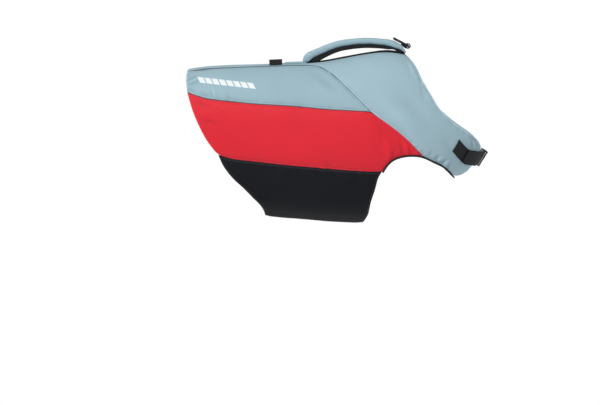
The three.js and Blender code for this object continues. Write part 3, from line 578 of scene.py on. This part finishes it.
def crease_depth(creases, point):
    depth = 0.0
    for crease in creases:
        if crease["side"] * point.y < 0:
            continue
        start, end = Vector(crease["start"]) * MM, Vector(crease["end"]) * MM
        here = Vector((point.x, point.z)) - start
        way = end - start
        share = min(max(here.dot(way) / way.length_squared, 0), 1)
        off = (here - way * share).length / (crease["wide"] * MM)
        if off < 2.5:
            soft_end = 0.3 + 0.7 * math.sin(math.pi * share)
            depth += FOLD_DEPTH * crease["deep"] * MM * soft_end * math.exp(-off * off)
    return depth


def crease(start, end, wide, deep, side=SHOWN):
    return {"start": start, "end": end, "wide": wide, "deep": deep, "side": side}


example = crease((0, 0), (20, 0), 3.0, 1.0)
print("its middle rises by", round(crease_depth([example], Vector((0.010, -0.1, 0))) / MM, 2), "mm")

# %% [markdown]
# ## What thread does to a panel
# Where a panel's edge meets a neighbour's, it is sewn, and the thread draws the foam in. The
# pull is strongest beside the spine, and fades towards the rear edge, where nothing is sewn.

# %% The pull of the seams
SEAM_REACH = 4 * MM
SEAM_PULL = 1.1 * MM
SPINE_PULL = 2.0 * MM
REAR_END = -0.306
REAR_FADE = 24 * MM


def sewn_marks(node):
    """Which of a panel's edge points have a neighbour's edge beside them."""
    others = edge_tree([p for other, points in rim_points.items() if other != node for p in points])
    return [others.find(point)[2] < SEAM_REACH for point in rim_points[node]]


def seam_pull(near, rim):
    """How far the thread draws the foam in, most along the seams beside the spine."""
    facing_up = min(max((outward(near).z - 0.80) / 0.12, 0), 1)
    behind_handle = min(max((-0.04 - near.x) / 0.05, 0), 1)
    top = facing_up * behind_handle
    rear = min(max((near.x - REAR_END) / REAR_FADE, 0), 1)
    narrow, wide = math.exp(-(rim / (5 * MM)) ** 2), math.exp(-(rim / (11 * MM)) ** 2)
    return rear * (SEAM_PULL * narrow + top * SPINE_PULL * wide)


print("sewn edge points of the yoke:", sum(sewn_marks("yoke")), "of", len(rim_points["yoke"]))

# %% [markdown]
# ## Folding a panel
# Each edge has small uneven puckers, which come from a noise that is read on the edge itself
# and so runs straight into the panel. They are stronger round the neck. Slow waves over the
# whole face keep foam from looking cast. The creases, puckers and the pull of the seams move
# the points, and the same depths are kept in the attributes that the finishes read.

# %% Folding
FREE_RIM = 1.7 * MM
FOLD_SCALE = 1.0 * MM
PUCKER_REACH = 8 * MM
NECK_FROM = 0.130
NECK_MORE = 1.3


def folded(piece, node, creases, pucker, wave):
    """Moves the fine mesh's points along their normals and writes the cloth attribute."""
    tree, sewn = edge_tree(rim_points[node]), sewn_marks(node)
    side = 0 if node == "yoke" else (1 if node.endswith("left") else -1)
    mesh = piece.data
    moved, marks, depths = [], [], []
    for vert in mesh.vertices:
        point = vert.co.copy()
        facing = vert.normal.dot(outward(point))
        on_face = min(max((abs(facing) - 0.1) / 0.4, 0), 1)
        near, mark, rim = tree.find(point)
        pull = math.exp(-(rim / PUCKER_REACH) ** 2)
        waves = noise.noise(near * 95) + 0.6 * noise.noise(near * 190 + Vector((3, 1, 7)))
        local = 0.6 + 1.2 * abs(noise.noise(near * 9)) + (NECK_MORE if near.x > NECK_FROM else 0)
        fold = pucker * MM * local * waves * pull
        swell = wave * MM * (noise.noise(point * 16) + 0.5 * noise.noise(point * 37)) * (1 - pull)
        move = fold + swell
        if facing > 0:
            fold += crease_depth(creases, point)
            # This depth later becomes painted shade in troughs and a painted highlight on ridges
            depths.append(min(max((fold + 0.25 * swell) / FOLD_SCALE, -1), 1) * on_face)
            move = fold + swell - seam_pull(near, rim)
            rim = max(rim, 0 if sewn[mark] else FREE_RIM)
        else:
            depths.append(0.0)
            rim = max(rim, RIM_SCALE)
        moved.append(point + vert.normal * move * on_face)
        turn = math.atan2(abs(point.y) if side == 0 else side * point.y, point.z - TRUNK_AXIS_Z)
        if side and turn < -math.pi / 2:
            turn += 2 * math.pi
        marks.extend((point.x, GIRTH_RADIUS * turn, rim))
    for vert, place in zip(mesh.vertices, moved):
        vert.co = place
    mesh.attributes.new("cloth", "FLOAT_VECTOR", "POINT").data.foreach_set("vector", marks)
    mesh.attributes.new("fold", "FLOAT", "POINT").data.foreach_set("value", depths)
    mesh.update()
    return piece


print("puckers reach", PUCKER_REACH / MM, "mm into a panel")

# %% [markdown]
# ## Foam that fills its cover
# Between its seams the foam pushes the shell out a little, and a seam holds it down. That is
# what a cloth simulation with air pressure gives, so each foam panel gets a short one: the
# points near the seams are held, gravity is off, and how far a point may rise is capped
# softly at two millimetres, because foam is stiff. The simulation runs on the coarse mesh,
# which takes seconds, and its result is applied before the fine folds.

# %% Plumping
PLUMP_FRAMES = 20
PLUMP_PRESSURE = 1.0
HELD_TO = 3 * MM
FREE_FROM = 22 * MM


def plumped(piece, held_points, cap):
    """Runs the simulation on a piece and returns the furthest rise."""
    if not cap:
        return 0.0
    edges = edge_tree(held_points)
    held = piece.vertex_groups.new(name="held")
    for vert in piece.data.vertices:
        rim = edges.find(vert.co)[2]
        held.add([vert.index], min(max((FREE_FROM - rim) / (FREE_FROM - HELD_TO), 0), 1) ** 2, "REPLACE")
    cloth = piece.modifiers.new("plump", "CLOTH")
    cloth.settings.vertex_group_mass = held.name
    cloth.settings.use_pressure = True
    cloth.settings.uniform_pressure_force = PLUMP_PRESSURE
    cloth.settings.effector_weights.gravity = 0
    cloth.collision_settings.use_collision = False
    cloth.point_cache.frame_end = PLUMP_FRAMES
    for step in range(1, PLUMP_FRAMES + 1):
        bpy.context.scene.frame_set(step)
    shown = piece.evaluated_get(bpy.context.evaluated_depsgraph_get())
    risen = [v.co.copy() for v in shown.to_mesh().vertices]
    shown.to_mesh_clear()
    piece.modifiers.remove(cloth)
    piece.vertex_groups.clear()
    bpy.context.scene.frame_set(1)
    furthest = 0.0
    for vert, place in zip(piece.data.vertices, risen):
        rise = place - vert.co
        if rise.length:
            furthest = max(furthest, rise.length)
            vert.co += rise.normalized() * cap * (1 - math.exp(-rise.length / cap))
    piece.data.update()
    return furthest


print("a panel swells for", PLUMP_FRAMES, "frames")

# %% [markdown]
# ## Where the creases lie
# The creases are placed from the photograph on the right side, and others like them
# on the left: start and end seen from the side, width and depth.

# %% Creases
UPPER_CREASES = [
    crease((-309, -32), (-290, -23), 2.4, -1.4),
    crease((-304, -35), (-287, -27), 1.8, 1.0),
    crease((-304, -40), (-285, -32), 2.4, -1.2),
    crease((-307, -52), (-304, -47), 1.8, -1.3),
    crease((-301, -52), (-299, -47), 1.6, -1.2),
    crease((-296, -54), (-292, -49), 1.8, -1.2),
    crease((-282, -57), (-262, -61), 4.0, -0.6),
    crease((-257, -46), (-252, -64), 2.0, 0.9),
    crease((-261, -50), (-257, -64), 2.4, -0.7),
    crease((-230, -58), (-222, -70), 3.0, -0.6),
    crease((-60, -20), (-20, -48), 6.0, -0.5),
    crease((-307, -28), (-288, -30), 3.0, -1.2, HIDDEN),
    crease((-306, -44), (-290, -50), 3.0, 1.0, HIDDEN),
    crease((-270, -50), (-262, -63), 3.5, -0.9, HIDDEN),
    crease((-120, -60), (-112, -77), 4.0, -0.7, HIDDEN),
]
SIDE_CREASES = [
    crease((106, -146), (113, -178), 3.2, -1.0),
    crease((116, -150), (121, -177), 2.4, 0.8),
    crease((125, -156), (128, -174), 2.0, -1.3),
    crease((98, -156), (88, -190), 4.0, -0.7),
    crease((60, -104), (86, -150), 6.0, -0.4),
    crease((80, -130), (84, -190), 6.0, 0.6),
    crease((-290, -72), (-262, -84), 5.0, -0.8),
    crease((-280, -110), (-250, -112), 6.0, -0.6),
    crease((-40, -188), (-28, -203), 4.0, -0.6),
    crease((112, -152), (108, -178), 3.0, -1.1, HIDDEN),
    crease((90, -140), (88, -185), 4.5, 0.7, HIDDEN),
    crease((-285, -80), (-255, -95), 5.0, -0.8, HIDDEN),
    crease((-150, -175), (-140, -192), 4.0, -0.7, HIDDEN),
]
YOKE_CREASES = [
    crease((160, -176), (168, -169), 2.4, -0.9),
    crease((173, -184), (182, -177), 2.2, -1.3),
    crease((179, -188), (188, -180), 1.8, 1.1),
    crease((185, -193), (197, -184), 2.2, -1.5),
    crease((190, -196), (201, -187), 1.8, 1.2),
    crease((196, -200), (206, -192), 2.2, -1.1),
    crease((247, -149), (248, -163), 1.7, -1.2),
    crease((251, -149), (251, -163), 1.5, 1.2),
    crease((255.5, -151), (257, -163), 1.6, -0.8),
    crease((260, -154), (260, -162), 1.5, 1.2),
    crease((60, -60), (120, -118), 14.0, 0.35),
    crease((100, -60), (150, -110), 12.0, -0.35),
    crease((140, -70), (175, -120), 10.0, 0.35),
    crease((190, -140), (215, -200), 9.0, -0.45),
    crease((170, -178), (182, -196), 2.8, -1.2, HIDDEN),
    crease((184, -180), (192, -198), 2.6, 1.0, HIDDEN),
    crease((250, -148), (246, -166), 2.2, -1.0, HIDDEN),
    crease((90, -70), (140, -118), 12.0, -0.8, HIDDEN),
]
print("creases:", len(UPPER_CREASES), "upper,", len(SIDE_CREASES), "side,", len(YOKE_CREASES), "yoke")

# %% [markdown]
# ## The foam panels
# Yoke, upper side panels and red side panels are 8 to 12 mm of closed-cell foam between two
# layers of nylon. Each is copied, rounded, swelled by the simulation, made fine and folded.

# %% Foam panels
FOAM_LEVELS = 3
FOAM_ROLL = 2.2
FOAM_RISE = 2.0
# Material, slot, creases, depth of the puckers and of the slow waves in mm
PANELS = {
    "yoke": (blue_nylon, "pale_blue_nylon", YOKE_CREASES, 0.55, 0.9),
    "upper_side": (film_nylon, "pale_blue_nylon", UPPER_CREASES, 0.45, 0.8),
    "side": (red_nylon, "red_nylon", SIDE_CREASES, 0.4, 0.9),
}
TUCK_REACH = 5.5 * MM
SEAM_TUCK = Vector((0, -0.7, 1.8)) * MM
cloth_pieces = {}


def sewn_panel(node, kind, roll, levels, rise):
    material, slot, creases, pucker, wave = kind
    largest = node == "yoke"
    copy = swelled(cad_copy(node), (0.45 if largest else 0.15) * MM)
    if node.startswith("belly"):
        seam = edge_tree(rim_points["side_right"] + rim_points["side_left"])
        for vert in copy.verts:
            if seam.find(vert.co)[2] < TUCK_REACH:
                vert.co += Vector((0, math.copysign(1, vert.co.y) * SEAM_TUCK.y, SEAM_TUCK.z))
    # The yoke is by far the largest piece; one tighter bevel keeps it under 200,000 triangles
    rounded(copy, (0.75 if largest else 1) * roll * MM, segments=1 if largest else 2, keep_corners=True)
    piece = to_object(f"{node}_cloth", copy, material, slot=slot, replaces=[node])
    applied(size_kept(subdivided(piece, 1)))
    risen = plumped(piece, rim_points[node], rise * MM)
    applied(subdivided(piece, levels - 1))
    folded(piece, node, creases, pucker, wave)
    cloth_pieces[node] = piece
    print(node, "rise in mm:", round(risen / MM, 2), "faces:", len(piece.data.polygons))
    return piece


for panel_node in ("yoke", "upper_side_right", "upper_side_left", "side_right", "side_left"):
    panel_kind = PANELS[panel_node.replace("_right", "").replace("_left", "")]
    sewn_panel(panel_node, panel_kind, FOAM_ROLL, FOAM_LEVELS, FOAM_RISE)

# %% [markdown]
# ## The belly panels
# Under the belly two pieces of black stretch laminate, about 4 mm thick, lap over each
# other and close with hook-and-loop tape. Each is one flat piece, stretched round the belly.
# Its upper edge is tucked a little way into the side panel, as it is sewn, so no light comes
# through the seam.

# %% Belly panels
BELLY_CREASES = [
    crease((40, -262), (49, -288), 4.0, 0.9),
    crease((30, -270), (38, -296), 4.0, -0.8),
    crease((-218, -214), (-204, -232), 4.0, 0.9),
    crease((-206, -222), (-190, -236), 4.0, -0.8),
    crease((20, -206), (12, -232), 6.0, -0.7),
    crease((-120, -194), (-130, -226), 8.0, 0.6),
    crease((-176, -256), (-140, -262), 6.0, -0.7),
    crease((42, -255), (48, -285), 4.0, -0.9, HIDDEN),
    crease((-210, -212), (-190, -235), 5.0, 0.9, HIDDEN),
]
BELLY = (laminate, "black_stretch", BELLY_CREASES, 0.3, 0.9)
BELLY_ROLL = 1.1
BELLY_LEVELS = 2
for belly_node in ("belly_right", "belly_left"):
    belly = sewn_panel(belly_node, BELLY, BELLY_ROLL, BELLY_LEVELS, 0)
    belly_area = sum(p.area for p in belly.data.polygons) / 2
    print(belly_node, "half its surface in square metres:", round(belly_area, 4))

# %% [markdown]
# ## Armhole binding
# A narrow folded tape covers the raw edges round each armhole. It is the solid's own strip
# with its corners rounded.

# %% Armhole binding
FAR_FROM_SEAM = 0.05


def marked(piece, along):
    """Writes the cloth attribute of a piece without seams."""
    marks = [v for vert in piece.data.vertices for v in (*along(vert.co), FAR_FROM_SEAM)]
    piece.data.attributes.new("cloth", "FLOAT_VECTOR", "POINT").data.foreach_set("vector", marks)


def taped(node, roll, levels, material=webbing_black, slot="black_webbing",
          along=None, swell=0.0, lift=0.0, sag=0.0, **more):
    copy = swelled(cad_copy(node), swell * MM)
    low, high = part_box(node)
    for vert in copy.verts:
        share = min(max((vert.co.x - low.x) / (high.x - low.x), 0), 1)
        vert.co.z += lift * MM - sag * math.sin(math.pi * share)
    rounded(copy, roll * MM)
    piece = to_object(f"{node}_cloth", copy, material, slot=slot, replaces=[node], **more)
    size_kept(subdivided(piece, levels))
    marked(piece, along or (lambda p: (p.x, p.y)))
    print(node, "faces before subdivision:", len(piece.data.polygons))
    return piece


def round_armhole(point):
    return (point.x - 0.8 * point.z, abs(point.y))


for binding_node in ("armhole_binding_right", "armhole_binding_left"):
    taped(binding_node, 0.8, 2, along=round_armhole, swell=0.5)

# %% [markdown]
# ## Handle, strip and loop on the back
# The handle is webbing with a padded nylon sleeve over it. Its foam is soft, so the sleeve
# has a seam along each side, wrinkles where it bends, and hangs lower at its rear end. The
# webbing and the sleeve's lower edge sag a little in the middle.

# %% Handle
taped("handle_base", 0.5, 2, swell=0.5, lift=-0.6)
HANDLE_SAG = 3.0 * MM
taped("handle_strap", 1.6, 2, along=lambda p: (p.x + 0.5 * p.z, p.y), swell=0.9, lift=0.5, sag=HANDLE_SAG)
taped("spine_strip", 0.8, 2, material=blue_nylon, slot="pale_blue_nylon", swell=0.3, lift=-0.8)
taped("back_loop", 0.45, 2, along=lambda p: (p.y, p.x))

# %% The padded sleeve
SLEEVE_END = 26 * MM
SLEEVE_HANG = 3.5 * MM
SLEEVE_SAG = 2.6 * MM


def wrinkled_sleeve(piece):
    mesh = piece.data
    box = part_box("handle_sleeve")
    length = box[1].x - box[0].x
    marks, moved = [], []
    for vert in mesh.vertices:
        point = vert.co
        ends = abs(2 * (point.x - box[0].x) / length - 1) ** 3
        low = max(0.0, -vert.normal.z) + 0.5 * abs(vert.normal.y)
        ring = Vector((point.x * 85 + point.z * 30, point.y * 12, 4))
        move = MM * (0.2 + 0.9 * ends + 0.4 * low) * noise.noise(ring)
        move += 0.4 * MM * noise.noise(point * 22)
        rear = min(max(1 - (point.x - box[0].x) / SLEEVE_END, 0), 1)
        drop = SLEEVE_HANG * rear * rear * (3 - 2 * rear) + SLEEVE_SAG
        hang = Vector((0, 0, -drop * min(1, max(0, 0.5 - vert.normal.z))))
        moved.append(point + vert.normal * move + hang)
        marks.extend((point.x + 0.4 * point.z, point.y * 1.3, FAR_FROM_SEAM))
    for vert, place in zip(mesh.vertices, moved):
        vert.co = place
    mesh.attributes.new("cloth", "FLOAT_VECTOR", "POINT").data.foreach_set("vector", marks)
    mesh.update()


sleeve_copy = cad_copy("handle_sleeve")
rounded(sleeve_copy, 1.5 * MM)
sleeve = to_object("handle_sleeve_cloth", sleeve_copy, blue_nylon, slot="pale_blue_nylon",
                   replaces=["handle_sleeve"])
wrinkled_sleeve(applied(size_kept(subdivided(sleeve, 3))))
print("sleeve faces:", len(sleeve.data.polygons))

# %% [markdown]
# ## Leash ring and its tab
# The ring is a moulded D. The solid has eight sides round its bar, and a subdivision
# surface makes them round while its cage is pushed out to keep the bar as thick.

# %% Leash ring
ring = to_object("leash_ring_moulded", cad_copy("leash_ring"), acetal, body="leash_ring",
                 slot="black_plastic", replaces=["leash_ring"])
size_kept(subdivided(ring, 2))
taped("leash_tab", 0.5, 1, along=lambda p: (p.x - p.z, p.y))

# %% [markdown]
# ## Chest strap and buckle
# 25 mm webbing is sewn to each chest front and runs to the buckle. Its loose end is folded
# back over it, which gives the second, slightly lower layer from the kink onwards. The
# loose end is a second copy of the strap, cut at the kink and moved out and down.

# %% Chest strap
KINK_UPPER = Vector((0.240, 0, -0.166))
KINK_LOWER = Vector((0.2255, 0, -0.1925))
TAIL_OUT = 2.3 * MM
TAIL_DOWN = 1.6 * MM
TAIL_END = 33 * MM


def along_strap(point):
    return (0.66 * point.x - 0.75 * abs(point.y), point.z + 0.4 * point.x)


for strap_node in ("chest_strap_right", "chest_strap_left"):
    taped(strap_node, 0.5, 2, along=along_strap, swell=0.5)
    tail = swelled(cad_copy(strap_node), 0.4 * MM)
    across = KINK_UPPER - KINK_LOWER
    onwards = Vector((-across.z, 0, across.x)).normalized() * -1
    bmesh.ops.bisect_plane(
        tail, geom=[*tail.verts, *tail.edges, *tail.faces], plane_co=KINK_UPPER, plane_no=onwards,
        clear_inner=True,
    )
    sideways = 1 if strap_node.endswith("left") else -1
    bmesh.ops.bisect_plane(
        tail, geom=[*tail.verts, *tail.edges, *tail.faces], plane_co=(0, sideways * TAIL_END, 0),
        plane_no=(0, sideways, 0), clear_inner=True,
    )
    bmesh.ops.holes_fill(tail, edges=[e for e in tail.edges if e.is_boundary], sides=0)
    shift = Vector((0.45 * TAIL_OUT, 0.9 * sideways * TAIL_OUT, -TAIL_DOWN))
    bmesh.ops.translate(tail, verts=tail.verts, vec=shift)
    rounded(tail, 0.5 * MM)
    tail_piece = subdivided(to_object(f"{strap_node}_tail", tail, webbing_black, slot="black_webbing"), 2)
    marked(tail_piece, along_strap)
    print(strap_node, "tail faces:", len(tail_piece.data.polygons))

# %% [markdown]
# ## The buckle
# The two halves of the buckle are moulded shells with a rim round each end. The rims are pale
# grey beads that carry a painted highlight. From the side the buckle shows edge-on as a black end with pale
# rims.

# %% Buckle
BUCKLE_CENTRE = Vector((0.2655, 0, -0.183))
BUCKLE_TILT = math.radians(32)
BUCKLE_FACE = Vector((math.cos(BUCKLE_TILT), 0, -math.sin(BUCKLE_TILT)))
BUCKLE_UP = Vector((math.sin(BUCKLE_TILT), 0, math.cos(BUCKLE_TILT)))
BUCKLE_SHIFT = Vector((1.2, 0, -1.2)) * MM
RIM_PLACES = (-4.6 * MM, 2.6 * MM)
RIM_HALF_LENGTH = 14.5 * MM
RIM_RADIUS = 0.8 * MM

for buckle_node in ("buckle_socket", "buckle_plug"):
    shell = swelled(cad_copy(buckle_node), 0.5 * MM)
    for vert in shell.verts:
        vert.co += BUCKLE_SHIFT
    rounded(shell, 1.1 * MM, 3)
    buckle = to_object(f"{buckle_node}_moulded", shell, acetal, slot="black_plastic",
                       replaces=[buckle_node])
    end_y = max((v.co.y for v in buckle.data.vertices), key=abs)
    rims = bmesh.new()
    for place in RIM_PLACES:
        middle = BUCKLE_CENTRE + BUCKLE_SHIFT + BUCKLE_FACE * place
        turn = Matrix((BUCKLE_FACE, BUCKLE_UP.cross(BUCKLE_FACE), BUCKLE_UP)).transposed().to_4x4()
        bmesh.ops.create_cone(
            rims, cap_ends=True, segments=12, radius1=RIM_RADIUS, radius2=RIM_RADIUS,
            depth=2 * RIM_HALF_LENGTH,
            matrix=Matrix.Translation((middle.x, end_y, middle.z)) @ turn,
        )
    # The rims are pale grey, a painted highlight along the buckle's edges
    to_object(f"{buckle_node}_rims", rims, painted_highlight, slot="black_plastic")
    print(buckle_node, "faces:", len(buckle.data.polygons), "end at y in mm:", round(end_y / MM, 1))

# %% [markdown]
# ## Stitching
# Every seam is topstitched about 3 mm from the edge, with stitches a little over 3 mm long.
# Each stitch is a small stretched ball laid on the finished cloth. There are about two
# thousand, so each has only twenty faces.

# %% Stitches
STITCH_PITCH = 3.7 * MM
STITCH_SIZE = Vector((2.8, 0.75, 0.55)) * MM
STITCH_IN = 3.3 * MM


def lay_stitch(seam, place, normal, ahead):
    across = normal.cross(ahead).normalized()
    turn = Matrix((across.cross(normal), across, normal)).transposed().to_4x4()
    at = Matrix.Translation(place + normal * 0.1 * MM) @ turn @ Matrix.Diagonal((*STITCH_SIZE, 1))
    bmesh.ops.create_icosphere(seam, subdivisions=1, radius=0.5, matrix=at)


def surface_of(piece):
    mesh = piece.data
    return BVHTree.FromPolygons([v.co for v in mesh.vertices], [p.vertices for p in mesh.polygons])


def stitches(name, nodes, thread, slot):
    """One row along every edge line of the panels, a little inside it."""
    seam = bmesh.new()
    for node in nodes:
        surface = surface_of(cloth_pieces[node])
        for line in panel_lines[node]:
            for point, ahead, middle in spaced(line, STITCH_PITCH):
                aside = ahead.cross(outward(point)).normalized()
                if aside.dot(middle - point) < 0:
                    aside.negate()
                place, normal, _, _ = surface.find_nearest(point + aside * STITCH_IN)
                if normal.dot(outward(place)) >= 0.3:
                    lay_stitch(seam, place, normal, ahead)
    piece = to_object(name, seam, THREADS[thread], slot=slot)
    print(name, "stitches:", len(piece.data.polygons) // 20)


def sleeve_stitches(name, thread, slot):
    """One row along each side of the handle's sleeve, a little above its lower edge."""
    surface = surface_of(sleeve)
    low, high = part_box("handle_sleeve")
    seam = bmesh.new()
    count = round((high.x - low.x - 14 * MM) / STITCH_PITCH)
    for side in (-1, 1):
        for k in range(count):
            x = low.x + 7 * MM + k * STITCH_PITCH
            near = [v.co for v in sleeve.data.vertices
                    if abs(v.co.x - x) < 2.5 * MM and side * v.co.y > 0.012]
            if not near:
                continue
            start = Vector((x, side * 0.1, min(p.z for p in near) + 3.5 * MM))
            place, normal, _, _ = surface.ray_cast(start, Vector((0, -side, 0)))
            if place is not None:
                lay_stitch(seam, place, normal, normal.cross(Vector((0, 0, 1))).normalized())
    piece = to_object(name, seam, THREADS[thread], slot=slot)
    print(name, "stitches:", len(piece.data.polygons) // 20)


sleeve_stitches("stitching_sleeve", "pale", "pale_blue_nylon")
stitches("stitching_blue", ["yoke", "upper_side_right", "upper_side_left"], "pale", "pale_blue_nylon")
stitches("stitching_red", ["side_right", "side_left"], "red", "red_nylon")
stitches("stitching_black", ["belly_right", "belly_left"], "black", "black_stretch")

# %% [markdown]
# ## Floor
# A wide pale floor lies well below the jacket, which hangs as it is worn, and reaches so far
# that its far edge merges with the horizon.

# %% Floor
FLOOR_Z = -1.60
FLOOR_RADIUS = 3000
floor_mesh = bmesh.new()
bmesh.ops.create_circle(floor_mesh, cap_ends=True, segments=64, radius=FLOOR_RADIUS,
                        matrix=Matrix.Translation((0, 0, FLOOR_Z)))
floor_data = bpy.data.meshes.new("floor")
floor_mesh.to_mesh(floor_data)
floor_mesh.free()
floor = bpy.data.objects.new("floor", floor_data)
bpy.context.scene.collection.objects.link(floor)
# Matt white paint: no highlight, only a little cloudiness, so it reads as a studio floor
floor_paint, floor_tree, floor_shader = new_material("matt_white_floor_paint", Roughness=0.9)
floor_place = add(floor_tree, "TexCoord", {}).outputs["Object"]
floor_cloud = add(floor_tree, "TexNoise", {"Vector": floor_place, "Scale": 2.0}).outputs["Fac"]
floor_tone = add(
    floor_tree, "Mix", {0: floor_cloud, 6: colour("fafafa"), 7: colour("ffffff")}, data_type="RGBA",
)
floor_tree.links.new(floor_tone.outputs[2], floor_shader.inputs["Base Color"])
floor_data.materials.append(floor_paint)
print("floor faces:", len(floor_data.polygons))

# %% [markdown]
# ## Light
# The sky is white at the horizon and softer overhead. One broad lamp stands high behind the
# camera's left shoulder, so the chest, which faces away from it, is the darkest blue part.

# %% Sky and lamp
world = bpy.data.worlds.new("studio")
bpy.context.scene.world = world
world.use_nodes = True
world_tree = world.node_tree
sky = add(world_tree, "SeparateXYZ", {0: add(world_tree, "TexCoord", {}).outputs["Generated"]}).outputs[2]
bright = add(world_tree, "MapRange", {0: sky, 1: 0.10, 2: 0.32, 3: 1.0, 4: 0.36}).outputs[0]
world_tree.links.new(bright, world_tree.nodes["Background"].inputs["Strength"])
world_tree.nodes["Background"].inputs["Color"].default_value = (1, 1, 1, 1)

KEY_FROM = Vector((-0.50, -0.62, 0.95))
KEY_STRENGTH = 2.8
key_data = bpy.data.lights.new("key", "SUN")
key_data.energy = KEY_STRENGTH
key_data.angle = math.radians(22)
key = bpy.data.objects.new("key", key_data)
bpy.context.scene.collection.objects.link(key)
key.rotation_euler = KEY_FROM.to_track_quat("Z", "Y").to_euler()
bpy.context.scene.view_settings.view_transform = "Standard"
print("key lamp strength:", KEY_STRENGTH)
